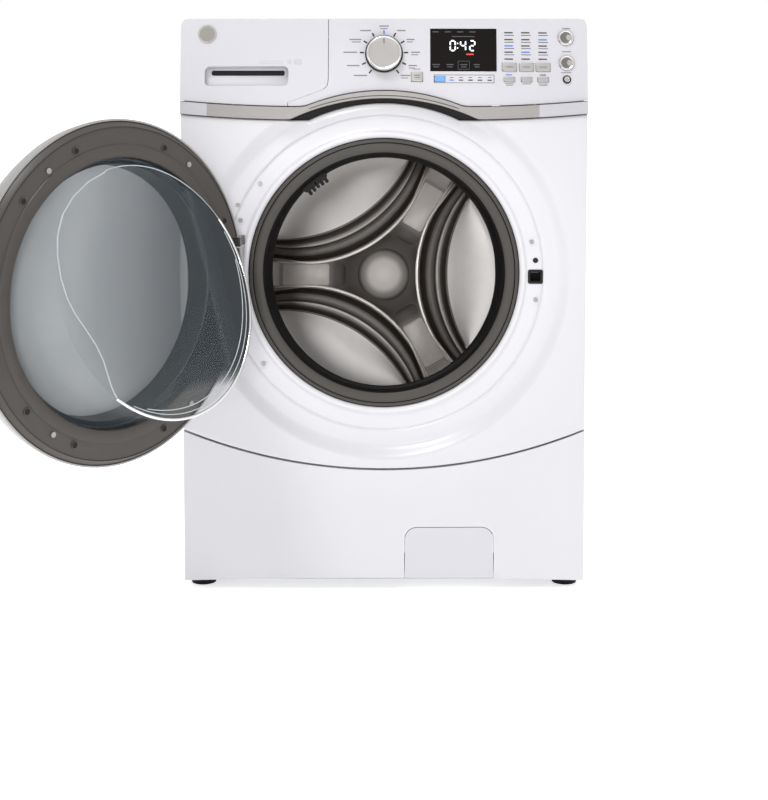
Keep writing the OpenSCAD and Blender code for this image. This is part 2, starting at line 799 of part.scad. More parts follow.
module damper_rods() color(STEEL) {
  for (s = [-1, 1], y = damper_ys) translate([s * damper_x, y, 0]) {
    translate([0, 0, 130]) cylinder(r = damper_rod_r, h = rod_top(y) - 130);
    translate([0, 0, 130]) cylinder(r = damper_tube_r - 3.5, h = 16);
    // lug against the tub's underside
    difference() {
      translate([-12, -14, rod_top(y) - 6]) cube([24, 28, 36]);
      translate([-s * damper_x, -y, 0]) tub_frame() cylinder(r = tub_out_r, h = tub_back_s);
    }
  }
}
// Height of the tub's underside above a damper
function rod_top(y) = door_z - (y - tub_y) * tan(tilt)
  - sqrt(tub_out_r * tub_out_r - damper_x * damper_x) / cos(tilt) - 4;

module belt_path(grow) {
  hull() {
    circle(drum_pulley_r + grow);
    translate([0, motor_drop]) circle(motor_pulley_r + grow);
  }
}
module drive_belt() color(BLACK) tub_frame() {
  translate([0, 0, pulley_s + 2]) linear_extrude(pulley_w - 4) difference() {
    belt_path(3.3);
    belt_path(0.3);
  }
}

// ---------------------------------------------------------------- drum

module drum_shell() color(STEEL) tub_frame() {
  rotate_extrude() polygon([[mouth_r, drum_front_s], [mouth_r + 4, drum_front_s - 3],
    [mouth_r + 8, drum_front_s], [drum_r - 12, drum_front_s + 24],
    [drum_r + drum_t, drum_front_s + 40], [drum_r + drum_t, drum_back_s],
    [drum_r, drum_back_s], [drum_r, drum_front_s + 41], [drum_r - 12, drum_front_s + 25.5],
    [mouth_r + 8, drum_front_s + 4], [mouth_r, drum_front_s + 3]]);
}

module drum_back() color(STEEL) tub_frame() {
  difference() {
    union() {
      translate([0, 0, drum_back_s - 8]) cylinder(r = drum_r - 0.2, h = 4);
      // dome over the shaft
      translate([0, 0, drum_back_s - 20]) cylinder(r1 = 40, r2 = 52, h = 13);
    }
    translate([0, 0, drum_back_s - 17]) cylinder(r1 = 38, r2 = 50, h = 14);
  }
}

// A baffle's side outline, set in by t from its own skin
module baffle_side(t = 0) {
  polygon([[drum_r + 2, 80 + 2 * t], [drum_r - 14 + t, 85 + 2 * t],
    [drum_r - baffle_h + t, drum_back_s - 30], [drum_r - baffle_h + t, drum_back_s - 10 - t],
    [drum_r + 2, drum_back_s - 10 - t]]);
}

module drum_baffles() color(PLASTIC) tub_frame() {
  wall = 3;
  for (a = baffle_angles) rotate([0, 0, 180 + a]) difference() {
    intersection() {
      rotate([90, 0, 0]) translate([0, 0, -baffle_w / 2]) linear_extrude(baffle_w)
        baffle_side();
      translate([0, 0, 60]) cylinder(r = drum_r - 0.1, h = drum_depth);
    }
    rotate([90, 0, 0]) translate([0, 0, wall - baffle_w / 2])
      linear_extrude(baffle_w - 2 * wall) baffle_side(wall);
  }
}

module drum_spider() color([0.66, 0.66, 0.66]) tub_frame() {
  translate([0, 0, drum_back_s - 3.5]) cylinder(r = 44, h = 18);
  for (a = baffle_angles) rotate([0, 0, 180 + a]) translate([30, -14, drum_back_s - 3.5])
    cube([drum_r - 32, 28, 16]);
  translate([0, 0, drum_back_s])
    cylinder(r = shaft_r - run, h = pulley_s + pulley_w + 4 - drum_back_s);
}

module drum_pulley() color(SILVER) tub_frame() {
  translate([0, 0, pulley_s]) {
    tube(drum_pulley_r, drum_pulley_r - 6, pulley_w);
    for (z = [0, pulley_w - 2]) translate([0, 0, z])
      tube(drum_pulley_r + (z > 0 ? 4 : 0), drum_pulley_r - 6, 2);
    tube(26, shaft_r - run, pulley_w);
    for (a = [0:60:300]) rotate([0, 0, a]) translate([24, -7, 4])
      cube([drum_pulley_r - 28, 14, 6]);
  }
}

module motor_rotor() color(STEEL) tub_frame() translate([0, motor_drop, 0]) {
  translate([0, 0, motor_s0 + 4]) cylinder(r = 8, h = pulley_s + pulley_w + 2 - motor_s0 - 4);
  translate([0, 0, motor_s0 + 20]) cylinder(r = 38, h = motor_s1 - motor_s0 - 40);
  translate([0, 0, pulley_s]) cylinder(r = motor_pulley_r, h = pulley_w);
}

// ---------------------------------------------------------------- door

// Room for the hinge: the sectors that the arms sweep as the door turns, and the barrel
module hinge_room() {
  for (s = [-1, 1]) translate([-hinge_x, hinge_y, door_z + s * arm_dz - arm_h / 2 - 2]) {
    cylinder(r = barrel_r + 3, h = arm_h + 4);
    linear_extrude(arm_h + 4) polygon(concat([[0, 0]],
      [for (a = [-25:5:215]) pocket_r * [cos(a), sin(a)]]));
  }
  translate([-hinge_x, hinge_y, door_z - arm_dz + arm_h / 2])
    cylinder(r = barrel_r + 1, h = 2 * arm_dz - arm_h);
}

module door_shell() color(SILVER) opened() {
  difference() {
    door_axis(hinge_y) rotate_extrude() polygon([[205, -43], [232, -42], [252, -36],
      [266, -24], [275, -6], [door_r, 12], [door_r, 20], [door_r - 3, 20],
      [door_r - 3, 12], [272, -5], [263.5, -22], [250.5, -33.5], [231.5, -39],
      [208, -40], [208, -33], [205, -33]]);
    hinge_room();
  }
}

module door_ring() color(DARK) opened() {
  difference() {
    door_axis(hinge_y) rotate_extrude() polygon([[ring_hole_r, ring_v],
      [door_r - 12, ring_v - 2], [door_r - 5, 21], [door_r - 3.3, 17], [door_r - 3.3, 14],
      [door_r - 8, 14], [door_r - 14, ring_v - 5], [ring_hole_r + 3, ring_v - 3],
      [ring_hole_r + 3, 14], [ring_hole_r, 14]]);
    hinge_room();
    hook_place() cube([16, 20, 12], center = true);
  }
}

module hook_place() {
  translate([lock_x, hinge_y + ring_v, lock_z]) children();
}

module door_window() color([0.2, 0.2, 0.2, 0.6]) opened() {
  door_axis(hinge_y) rotate_extrude() polygon([[0, -52], [90, -51], [160, -47.5],
    [204.5, -42], [204.5, -38], [160, -43.5], [90, -47], [0, -48]]);
}

// The bowl's inside or outside: a cone cut off by a slanting plane
module glass_block(t = 0) {
  intersection() {
    door_axis(hinge_y) translate([0, 0, 8 - t * 2])
      cylinder(r1 = glass_base_r - t + glass_cone * 2 * t,
        r2 = glass_base_r - t - glass_cone * 200, h = 200 + 2 * t);
    translate([0, hinge_y + glass_depth - t, door_z]) rotate([glass_slant, 0, 0])
      translate([-300, -500, -400]) cube([600, 500, 800]);
  }
}

module door_glass() color([0.55, 0.57, 0.58, 0.4]) opened() {
  difference() {
    union() {
      glass_block();
      door_axis(hinge_y + 8) cylinder(r = 240, h = 5);
    }
    glass_block(glass_t);
  }
}

module hinge_leaf() color(STEEL) opened() {
  leaf_h = 100;
  leaf_w = 26;
  leaf_t = 4;
  reach = ring_v - 4.6;
  difference() {
    translate([-hinge_x, hinge_y, door_z - leaf_h / 2]) {
      cylinder(r = barrel_r, h = leaf_h);
      translate([0, -7, 0]) cube([leaf_w, leaf_t, leaf_h]);
      translate([leaf_w - leaf_t, -7, 0]) cube([leaf_t, reach + 7, leaf_h]);
    }
    translate([-hinge_x, hinge_y, door_z - arm_dz]) cylinder(r = pin_r + run, h = 2 * arm_dz);
  }
}

module door_hook() color(WHITE) opened() {
  hook_place() {
    translate([-6, -6, -4]) cube([7, 34, 8]);
    translate([-6, 20, -4]) cube([12, 8, 8]);
  }
}

module door_screws() color(WHITE) opened() {
  for (a = door_screw_angles) door_axis(hinge_y + ring_v - 1) rotate([0, 0, a])
    translate([door_screw_r, 0, 0]) cylinder(r = 4.5, h = 2.6);
}

// ---------------------------------------------------------------- drawer

module drawer_front() color(WHITE) {
  difference() {
    union() {
      intersection() { console_skin(); drawer_region(); }
      // pocket for the fingers
      intersection() {
        on_console(grip_x, grip_z) translate([0, grip_depth + 3, 0]) rotate([90, 0, 0])
          linear_extrude(grip_depth + 1) rounded(grip_w + 5, grip_h + 5, 12);
        console_block(1);
      }
      // ribs that carry the tray
      for (x = [tray_x0 + 6, tray_x1 - 11]) intersection() {
        translate([x, -face_y, tray_z0 + 8]) cube([5, tray_y0 + face_y - 0.1, 60]);
        console_block(1);
      }
    }
    on_console(grip_x, grip_z) translate([0, grip_depth, 0]) rotate([90, 0, 0])
      linear_extrude(grip_depth + 30) rounded(grip_w, grip_h, 9.5);
  }
}

module drawer_tray() color(PLASTIC) {
  w = tray_x1 - tray_x0;
  d = tray_y1 - tray_y0;
  difference() {
    translate([tray_x0, tray_y0, tray_z0]) cube([w, d, tray_z1 - tray_z0]);
    // three compartments
    for (c = [[3, 3, 0.46], [0.46 * w + 3, 3, 0.27], [0.73 * w + 3, 3, 0.27]])
      translate([tray_x0 + c[0], tray_y0 + 12, tray_z0 + 3])
        cube([c[2] * w - 5, d - 16, 100]);
  }
}

// ---------------------------------------------------------------- service parts

module service_flap() color(WHITE) {
  difference() {
    intersection() {
      push_y(-mid_y - 20, -face_y + 8) flap_outline();
      behind_skin();
      push_y(-far, 0) translate([-400, 22]) square([800, 200]);
    }
    intersection() {
      push_y(-mid_y - 20, -face_y + 30) translate([flap_x0 + 2, 24])
        square([flap_x1 - flap_x0 - 4, flap_top - flap_r - 24]);
      behind_skin(2.5);
    }
  }
  // hinge barrels along the lower edge
  for (x = [flap_x0 + 4, flap_x1 - 14]) translate([x, flap_hinge_y, flap_hinge_z])
    rotate([0, 90, 0]) cylinder(r = 4.5, h = 10);
}

module filter_cap() color(DARK) {
  translate([filter_x, -face_y + 33.5, filter_z]) rotate([90, 0, 0]) {
    cylinder(r = 33, h = 10);
    translate([-24, -5, 9]) cube([48, 10, 10]);
  }
  translate([filter_x, -face_y + 33.5, filter_z]) rotate([-90, 0, 0]) cylinder(r = 29.9, h = 20);
}

// ---------------------------------------------------------------- controls

module knob_skirt() color(BLACK) on_console_out(0, knob_z) {
  translate([0, 0, clear]) cylinder(r = 33, h = 4);
  translate([0, 0, -board_depth]) cylinder(r = 4, h = board_depth + 2);
}
module knob_cap() color(SILVER) on_console_out(0, knob_z)
  translate([0, 0, clear + 4]) rotate_extrude()
    polygon([[0, 0], [31, 0], [30.5, 11], [28.5, 14], [26, 15.5], [0, 15.5]]);

module power_button() color(SILVER) round_button(power_at);
module start_button() color(SILVER) round_button(start_at);
module add_garment_button() color(SILVER) round_button(add_at);
module soil_button() color(SILVER) rect_button(soil_at);
module temperature_button() color(SILVER) rect_button(temperature_at);
module spin_button() color(SILVER) rect_button(spin_at);
module delay_button() color(SILVER) rect_button(delay_at);
module steam_button() color(SILVER) rect_button(steam_at);
module rinse_button() color(SILVER) rect_button(rinse_at);
module prewash_button() color(SILVER) rect_button(prewash_at);
module boost_button() color([0.35, 0.6, 0.85]) rect_button(boost_at);

// ---------------------------------------------------------------- what is drawn

cabinet_shell();
top_panel();
rear_panel();
base_frame();
leveling_feet();
front_panel();
lower_panel();
console_fascia();
trim_band();
display_window();
control_board();
dispenser_housing();
inlet_valves();
cord_gland();
door_lock();
hinge_bracket();
door_gasket();
drain_pump();
water_hoses();
suspension_springs();
damper_cylinders();
panel_screws();
bellows_hoses();
tub_front();
tub_rear();
counterweights();
drum_bearings();
motor_housing();
damper_rods();
drive_belt();
drum_shell();
drum_back();
drum_baffles();
drum_spider();
drum_pulley();
motor_rotor();
door_shell();
door_ring();
door_window();
door_glass();
hinge_leaf();
door_hook();
door_screws();
drawer_front();
drawer_tray();
service_flap();
filter_cap();
knob_skirt();
knob_cap();
power_button();
start_button();
add_garment_button();
soil_button();
temperature_button();
spin_button();
delay_button();
steam_button();
rinse_button();
prewash_button();
boost_button();
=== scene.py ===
import json
import math

import bpy
import bmesh
from mathutils import Matrix, Vector


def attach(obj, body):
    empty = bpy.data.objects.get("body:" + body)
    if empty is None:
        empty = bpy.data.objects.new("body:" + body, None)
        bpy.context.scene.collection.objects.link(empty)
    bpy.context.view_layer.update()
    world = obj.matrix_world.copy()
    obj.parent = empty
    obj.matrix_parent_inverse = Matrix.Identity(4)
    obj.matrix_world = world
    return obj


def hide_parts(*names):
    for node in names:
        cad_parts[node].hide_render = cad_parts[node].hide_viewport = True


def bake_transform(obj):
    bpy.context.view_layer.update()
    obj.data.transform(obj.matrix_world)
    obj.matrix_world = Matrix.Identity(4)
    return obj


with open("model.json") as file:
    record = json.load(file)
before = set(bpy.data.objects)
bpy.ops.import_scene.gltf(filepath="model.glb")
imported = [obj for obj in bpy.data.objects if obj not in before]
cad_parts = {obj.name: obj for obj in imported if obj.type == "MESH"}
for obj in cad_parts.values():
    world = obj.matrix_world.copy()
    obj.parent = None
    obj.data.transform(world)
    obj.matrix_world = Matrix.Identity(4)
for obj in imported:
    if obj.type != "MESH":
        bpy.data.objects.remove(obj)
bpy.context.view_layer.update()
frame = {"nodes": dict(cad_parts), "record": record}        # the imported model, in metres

MM = 0.001
SCENE = bpy.context.scene

# Sizes shared with the CAD, in millimetres
HALF_W, MID_Y, BOW_R = 355.5, 398.0, 7902.8
FLOOR_Y, DOOR_Z, HINGE_X, HINGE_Y = -378.0, 565.0, -268.0, -415.0
LEAN, TILT, OPEN = math.radians(11), math.radians(8.5), math.radians(130)
CONSOLE_Z, KNOB_Z, TUB_Y = 859.0, 950.0, -312.0
PLATE_S, LOCK_X, LOCK_Z = 484.0, 267.0, 559.0
# The silver band: a shallow curve of radius BAND_R to each side, past the middle arches
BAND_R, BAND_Z, TOP_ARCH, LOW_ARCH = 2333.0, 859, 139, 164
# The line between the front panel and the lower panel
SEAM_Z, SEAM_RISE = 219, 69
SEAM_R = (HALF_W ** 2 + SEAM_RISE ** 2) / (2 * SEAM_RISE)


# ------------------------------------------------------------------ frames

def ease(t):
    """A smooth step from 0 to 1."""
    t = min(1.0, max(0.0, t))
    return t * t * (3 - 2 * t)


def bow_at(x):
    """How far back the bowed front lies at x."""
    return BOW_R - math.sqrt(BOW_R * BOW_R - x * x)


def on_console(x, z, out=0.0):
    """A point on the console's leaning face, out millimetres in front of it."""
    turn = Matrix.Rotation(-LEAN, 4, "X")
    local = turn @ Vector((x, bow_at(x) - out, (z - CONSOLE_Z) / math.cos(LEAN)))
    return (local + Vector((0, -MID_Y, CONSOLE_Z))) * MM


def tub_point(x, up, s):
    """x to the right, up across the axis, s back along the drum's tilted axis."""
    turn = Matrix.Rotation(-TILT, 4, "X")
    return (turn @ Vector((x, s, up)) + Vector((0, TUB_Y, DOOR_Z))) * MM


def front_point(x, z, y):
    return Vector((x, y, z)) * MM


def door_point(x, z, v):
    """A point given on the shut door, turned to where the open door stands."""
    p = Matrix.Rotation(-OPEN, 4, "Z") @ Vector((x - HINGE_X, v, 0))
    return Vector((p.x + HINGE_X, p.y + HINGE_Y, z)) * MM


def band_side(x, drop):
    """Height on the band's outer parts, drop millimetres under its upper edge."""
    r = BAND_R + drop
    return BAND_Z + BAND_R - math.sqrt(r * r - (abs(x) - TOP_ARCH) ** 2)


def arch(x, top, r):
    """Height at x of a round arch of radius r."""
    return top - r + math.sqrt(r * r - x * x)


def band_top(x):
    return arch(x, 887, 359) if abs(x) < TOP_ARCH else band_side(x, 0)


def band_bottom(x):
    return arch(x, 873, 382) if abs(x) < LOW_ARCH else band_side(x, 23)


def panel_top(x):
    """Height of the front panel's upper edge, a millimetre clear of what is over it."""
    low = 835.5 if abs(x) < LOW_ARCH else band_bottom(x)
    return (arch(x, 865.5, 305) if abs(x) < 132 else low) - 1


def seam(x):
    return SEAM_Z + SEAM_R - math.sqrt(SEAM_R ** 2 - x * x)


# ------------------------------------------------------------------ materials

def srgb(r, g, b):
    def lin(c):
        c /= 255.0
        return c / 12.92 if c <= 0.04045 else ((c + 0.055) / 1.055) ** 2.4
    return (lin(r), lin(g), lin(b))


def fill(mat, node, first=(), **named):
    """Fill a node's inputs, first in order and then by name; a socket is linked instead."""
    pairs = list(zip(node.inputs, first))
    pairs += [(node.inputs[name.replace("_", " ")], value) for name, value in named.items()]
    for socket, value in pairs:
        if isinstance(value, bpy.types.NodeSocket):
            mat.node_tree.links.new(value, socket)
        else:
            socket.default_value = value


def add(mat, kind, operation=None, first=(), **named):
    """A new shader node, with its operation and its inputs."""
    node = mat.node_tree.nodes.new("ShaderNode" + kind)
    if operation:
        node.operation = operation
    fill(mat, node, first, **named)
    return node


def shader_of(mat):
    return mat.node_tree.nodes["Principled BSDF"]


def place_in(mat):
    """The point's own place in the frame, in metres."""
    return add(mat, "TexCoord").outputs["Object"]


def ramp(mat, value, stops):
    """A colour ramp over value; a stop is its position and its colour with cover."""
    node = add(mat, "ValToRGB", Fac=value)
    marks = node.color_ramp.elements
    for i, (position, colour) in enumerate(stops):
        mark = marks[i] if i < 2 else marks.new(1.0)
        mark.position = position
        mark.color = colour
    return node


def mixed(mat, share, below, above):
    """A colour that goes from below to above as share goes from 0 to 1."""
    mix = add(mat, "Mix")
    mix.data_type = "RGBA"
    for index, value in ((0, share), (6, below), (7, above)):
        if isinstance(value, bpy.types.NodeSocket):
            mat.node_tree.links.new(value, mix.inputs[index])
        else:
            mix.inputs[index].default_value = value
    return mix.outputs[2]


def colour_of(mat):
    """The socket that feeds the shader's colour so far."""
    return shader_of(mat).inputs["Base Color"].links[0].from_socket


def surface(name, rgb, rough, metal=0.0, coat=0.0, grain=400.0, vary=0.04, bump=0.02,
            stretch=(1, 1, 1), rough_vary=0.08, spec=0.5):
    """A shader whose colour, gloss and relief follow fine noise; rgb is as seen, 0 to 255."""
    mat = bpy.data.materials.new(name)
    mat.use_nodes = True
    fill(mat, shader_of(mat), Metallic=metal, Coat_Weight=coat, Coat_Roughness=0.08,
         Specular_IOR_Level=spec)
    place = place_in(mat)
    stretched = add(mat, "Mapping", Vector=place, Scale=stretch).outputs["Vector"]
    fine = add(mat, "TexNoise", Vector=stretched, Scale=grain, Detail=3).outputs["Fac"]
    wide = add(mat, "TexNoise", Vector=place, Scale=7.0, Detail=2).outputs["Fac"]
    both = add(mat, "Math", "ADD", (fine, wide)).outputs[0]
    half = add(mat, "Math", "MULTIPLY", (both, 0.5)).outputs[0]
    base = srgb(*rgb)
    shades = ramp(mat, half, [(0.3, (*[c * (1 - vary) for c in base], 1)),
                              (0.7, (*[min(1, c * (1 + vary)) for c in base], 1))])
    gloss = add(mat, "MapRange", Value=half, To_Min=max(0.03, rough - rough_vary),
                To_Max=min(1.0, rough + rough_vary))
    relief = add(mat, "Bump", Strength=bump, Distance=0.001, Height=fine)
    fill(mat, shader_of(mat), Base_Color=shades.outputs["Color"],
         Roughness=gloss.outputs["Result"], Normal=relief.outputs["Normal"])
    return mat


def painted_light_across_door(name, stops, rough, spec=0.6):
    """Tinted pane whose colour, with painted shade and highlight, and cover change with
    distance from the hinge, in mm.
    """
    mat = surface(name, (130, 134, 138), rough, grain=30, bump=0.0, rough_vary=0.02,
                  spec=spec)
    out = (-math.cos(math.pi - OPEN), -math.sin(math.pi - OPEN), 0)
    hinge = HINGE_X * MM * out[0] + HINGE_Y * MM * out[1]
    away = add(mat, "VectorMath", "DOT_PRODUCT", (place_in(mat), out)).outputs["Value"]
    span = add(mat, "MapRange", Value=away, From_Min=hinge, From_Max=hinge + PANE_SPAN * MM)
    shades = ramp(mat, span.outputs["Result"],
                  [(u / PANE_SPAN, (*srgb(*rgb), cover)) for u, rgb, cover in stops])
    fill(mat, shader_of(mat), Base_Color=shades.outputs["Color"])
    if min(cover for _, _, cover in stops) < 1:
        fill(mat, shader_of(mat), Alpha=shades.outputs["Alpha"])
    return mat


# Painted shade and highlight across the open door: mm from the hinge, colour as seen, and cover
PANE_SPAN = 550
PANE_LIGHT_AND_SHADE = [(63, (40, 48, 54), 1), (65, (205, 208, 210), 1), (79, (186, 190, 193), 1),
        (81, (150, 154, 158), 1), (170, (164, 168, 171), 1), (300, (166, 170, 173), 1),
        (420, (126, 131, 134), 1), (455, (132, 137, 140), 1), (473, (122, 127, 130), 1)]
BOWL_LIGHT_AND_SHADE = [(50, (22, 28, 33), 1), (120, (24, 31, 36), 1), (150, (60, 68, 74), 0.4),
        (160, (122, 129, 133), 0.07), (360, (138, 144, 147), 0.07),
        (430, (160, 166, 169), 0.12), (470, (176, 181, 183), 0.22)]
# Painted highlight and shade from the drum's hub outwards: mm from its centre, and grey as seen
HUB_SPAN = 250
HUB_LIGHT_AND_SHADE = [(0, 212), (28, 200), (44, 140), (55, 64), (78, 56), (100, 84), (122, 132), (250, 150)]


def brushed(name, rgb, rough, metal, turns=(2, 60, 60)):
    return surface(name, rgb, rough, metal, grain=90, vary=0.05, bump=0.05, stretch=turns,
                   rough_vary=0.06)


def lit(name, rgb, strength):
    mat = surface(name, rgb, 0.4, grain=200, vary=0.05)
    fill(mat, shader_of(mat), Emission_Color=(*srgb(*rgb), 1), Emission_Strength=strength)
    return mat


def painted_hub_light():
    """Drum steel with painted light: bright on the hub's dome, dark round it and paler along
    the arms.
    """
    mat = surface("drum_arm_painted_light", (132, 126, 121), 0.5, 0.1, grain=60, vary=0.15, spec=0.25)
    centre = tub_point(0, 0, PLATE_S - 16)
    away = add(mat, "VectorMath", "DISTANCE", (place_in(mat), centre)).outputs["Value"]
    share = add(mat, "Math", "MULTIPLY", (away, 1 / (HUB_SPAN * MM))).outputs[0]
    shades = ramp(mat, share, [(r / HUB_SPAN, (*srgb(grey, grey - 5, grey - 9), 1))
                               for r, grey in HUB_LIGHT_AND_SHADE])
    shades.color_ramp.interpolation = "EASE"
    fill(mat, shader_of(mat), Base_Color=shades.outputs["Color"])
    return mat


def band_paint_and_reflection():
    """Silver paint with a painted reflection: lighter at its two ends than over the middle."""
    mat = brushed("band_paint_and_reflection", (152, 148, 146), 0.42, 0.15)
    split = add(mat, "SeparateXYZ", Vector=place_in(mat))
    middle, reaches = -0.019, 0.288     # of the darker part, in metres
    away = add(mat, "Math", "ADD", (split.outputs["X"], -middle)).outputs[0]
    size = add(mat, "Math", "ABSOLUTE", (away,)).outputs[0]
    step = add(mat, "MapRange", Value=size, From_Min=reaches, From_Max=0.290)
    # the lighter colour at the ends is a painted reflection
    cap = (*srgb(184, 183, 188), 1)
    fill(mat, shader_of(mat),
         Base_Color=mixed(mat, step.outputs["Result"], colour_of(mat), cap))
    return mat


def perforated():
    """Steel sheet with rows of small dark holes round the drum."""
    mat = brushed("drum_sheet", (176, 172, 168), 0.3, 0.75, (40, 2, 40))
    split = add(mat, "SeparateXYZ", Vector=place_in(mat))
    axis_z, radius = 0.53, 0.27         # of the drum, half-way back, in metres
    lift = add(mat, "Math", "SUBTRACT", (split.outputs["Z"], axis_z)).outputs[0]
    turn = add(mat, "Math", "ARCTAN2", (lift, split.outputs["X"])).outputs[0]
    round_it = add(mat, "Math", "MULTIPLY", (turn, radius)).outputs[0]
    flat = add(mat, "CombineXYZ", X=round_it, Y=split.outputs["Y"])
    cells = add(mat, "TexVoronoi", Vector=flat.outputs["Vector"], Scale=48, Randomness=0.0)
    hole = add(mat, "MapRange", Value=cells.outputs["Distance"], From_Min=0.12,
               From_Max=0.16)
    dark = (0.02, 0.02, 0.02, 1)
    fill(mat, shader_of(mat),
         Base_Color=mixed(mat, hole.outputs["Result"], dark, colour_of(mat)))
    return mat


# One material for each material slot of the record
M = {
    "white_enamel": surface("white_enamel", (204, 203, 207), 0.34, coat=0.15, grain=900,
                            vary=0.012, bump=0.012),
    "white_plastic": surface("white_plastic", (196, 195, 200), 0.36, coat=0.1, grain=1500,
                             vary=0.012),
    "silver_paint": band_paint_and_reflection(),
    "galvanised": surface("galvanised", (186, 188, 190), 0.42, 0.7, grain=60, vary=0.12,
                          bump=0.03),
    "stainless": perforated(),
    "spring_steel": brushed("spring_steel", (150, 150, 152), 0.32, 0.85),
    "chrome": brushed("chrome", (224, 223, 222), 0.14, 0.9),
    "cast_aluminium": surface("cast_aluminium", (176, 174, 172), 0.5, 0.55, grain=500,
                              vary=0.1, bump=0.2),
    "grey_rubber": surface("grey_rubber", (66, 63, 60), 0.5, grain=1400, vary=0.05,
                           bump=0.06, spec=0.3),
    "black_rubber": surface("black_rubber", (12, 10, 9), 0.6, grain=1400, vary=0.12,
                            bump=0.08, spec=0.2),
    "warm_grey_plastic": surface("warm_grey_plastic", (69, 65, 62), 0.42, spec=0.35,
                                 grain=1600, vary=0.05, bump=0.05),
    "black_plastic": surface("black_plastic", (24, 22, 21), 0.4, grain=1500, vary=0.1,
                             bump=0.05, spec=0.25),
    "black_glass": surface("black_glass", (20, 17, 15), 0.1, grain=300, vary=0.06,
                           bump=0.0, rough_vary=0.03, spec=0.14),
    "tub_plastic": surface("tub_plastic", (206, 205, 200), 0.5, grain=900, vary=0.05,
                           bump=0.08),
    "pale_plastic": surface("pale_plastic", (222, 221, 218), 0.42, grain=1200, vary=0.03,
                            bump=0.04),
    "smoked_glass": painted_light_across_door("smoked_glass", BOWL_LIGHT_AND_SHADE, 0.06, 0.42),
    "window_plastic": painted_light_across_door("window_plastic", PANE_LIGHT_AND_SHADE, 0.22),
    "concrete": surface("concrete", (150, 148, 143), 0.9, grain=260, vary=0.18, bump=0.5),
    "motor_black": surface("motor_black", (62, 62, 66), 0.5, 0.3, grain=700, vary=0.12,
                           bump=0.12),
    "silver_plastic": brushed("silver_plastic", (176, 173, 171), 0.34, 0.4, (60, 60, 2)),
    "blue_plastic": lit("blue_plastic", (96, 152, 214), 0.15),
    "circuit_green": surface("circuit_green", (42, 110, 72), 0.4, grain=300, vary=0.2,
                             bump=0.1),
}
# Further looks, each under its own name
X = {mat.name: mat for mat in (
    surface("dark_line", (50, 47, 45), 0.5, spec=0.2, grain=1200, vary=0.1),
    surface("faint_ink", (186, 185, 189), 0.6, grain=1500, vary=0.06),
    surface("ink", (122, 120, 123), 0.6, grain=1500, vary=0.06),
    # near-black: painted shadow in seams, holes and hollows, and the black of the spray nozzle
    surface("painted_shadow_and_black", (22, 20, 19), 0.8, grain=900, vary=0.1),
    surface("drum_lobe", (228, 224, 221), 0.36, 0.15, grain=40, vary=0.04),
    surface("drum_painted_shade", (86, 80, 75), 0.4, 0.15, grain=60, vary=0.2),
    # the black, dark and flank drum steels here and the bright one below are painted shade and
    # highlight
    surface("drum_deep_painted_shade", (50, 45, 42), 0.36, 0.3, grain=60, vary=0.25),
    surface("drum_flank_painted_sheen", (126, 119, 113), 0.34, 0.3, grain=60, vary=0.15),
    painted_hub_light(),
    brushed("door_silver", (158, 156, 154), 0.34, 0.5, (2, 2, 60)),
    brushed("screw_metal", (150, 148, 147), 0.3, 0.6),
    brushed("button_steel", (122, 119, 117), 0.3, 0.6, (60, 60, 2)),
    brushed("hinge_steel", (128, 126, 124), 0.2, 0.85),
    surface("drum_mid", (206, 200, 195), 0.46, 0.1, grain=50, vary=0.12),
    surface("drum_painted_highlight", (204, 199, 194), 0.34, 0.2, grain=80, vary=0.05),
    lit("digit", (238, 242, 250), 1.0),
    lit("red_mark", (214, 60, 52), 0.5),
    surface("led_off", (70, 69, 74), 0.4, grain=900, vary=0.05),
    lit("led_blue", (70, 110, 196), 0.35),
    surface("door_navy", (38, 45, 50), 0.35, grain=60, vary=0.2, spec=0.4),
    surface("badge_grey", (140, 137, 131), 0.55, grain=500, vary=0.05),
    surface("rim_grey", (172, 177, 180), 0.2, grain=300, vary=0.05),
    surface("slot_grey", (212, 211, 214), 0.35, grain=900, vary=0.03),
)}


# ------------------------------------------------------------------ mesh helpers

def smooth_group(name, angle):
    """Geometry nodes: join split edges, then shade smooth except across sharp edges."""
    group = bpy.data.node_groups.new(name, "GeometryNodeTree")
    group.interface.new_socket("Geometry", in_out="INPUT", socket_type="NodeSocketGeometry")
    group.interface.new_socket("Geometry", in_out="OUTPUT", socket_type="NodeSocketGeometry")
    nodes, links = group.nodes, group.links
    start, end = nodes.new("NodeGroupInput"), nodes.new("NodeGroupOutput")
    drop = nodes.new("GeometryNodeRemoveAttribute")
    drop.inputs["Name"].default_value = "custom_normal"
    join = nodes.new("GeometryNodeMergeByDistance")
    join.inputs["Distance"].default_value = 0.00002
    faces = nodes.new("GeometryNodeSetShadeSmooth")
    faces.domain = "FACE"
    edges = nodes.new("GeometryNodeSetShadeSmooth")
    edges.domain = "EDGE"
    edges.inputs["Shade Smooth"].default_value = False
    bend = nodes.new("GeometryNodeInputMeshEdgeAngle")
    sharp = nodes.new("FunctionNodeCompare")
    sharp.operation = "GREATER_THAN"
    sharp.inputs["B"].default_value = angle
    links.new(start.outputs[0], drop.inputs["Geometry"])
    links.new(drop.outputs["Geometry"], join.inputs["Geometry"])
    links.new(join.outputs["Geometry"], faces.inputs["Geometry"])
    links.new(faces.outputs["Geometry"], edges.inputs["Geometry"])
    links.new(bend.outputs["Unsigned Angle"], sharp.inputs["A"])
    links.new(sharp.outputs["Result"], edges.inputs["Selection"])
    links.new(edges.outputs["Geometry"], end.inputs[0])
    return group


TIDY = smooth_group("tidy", math.radians(28))


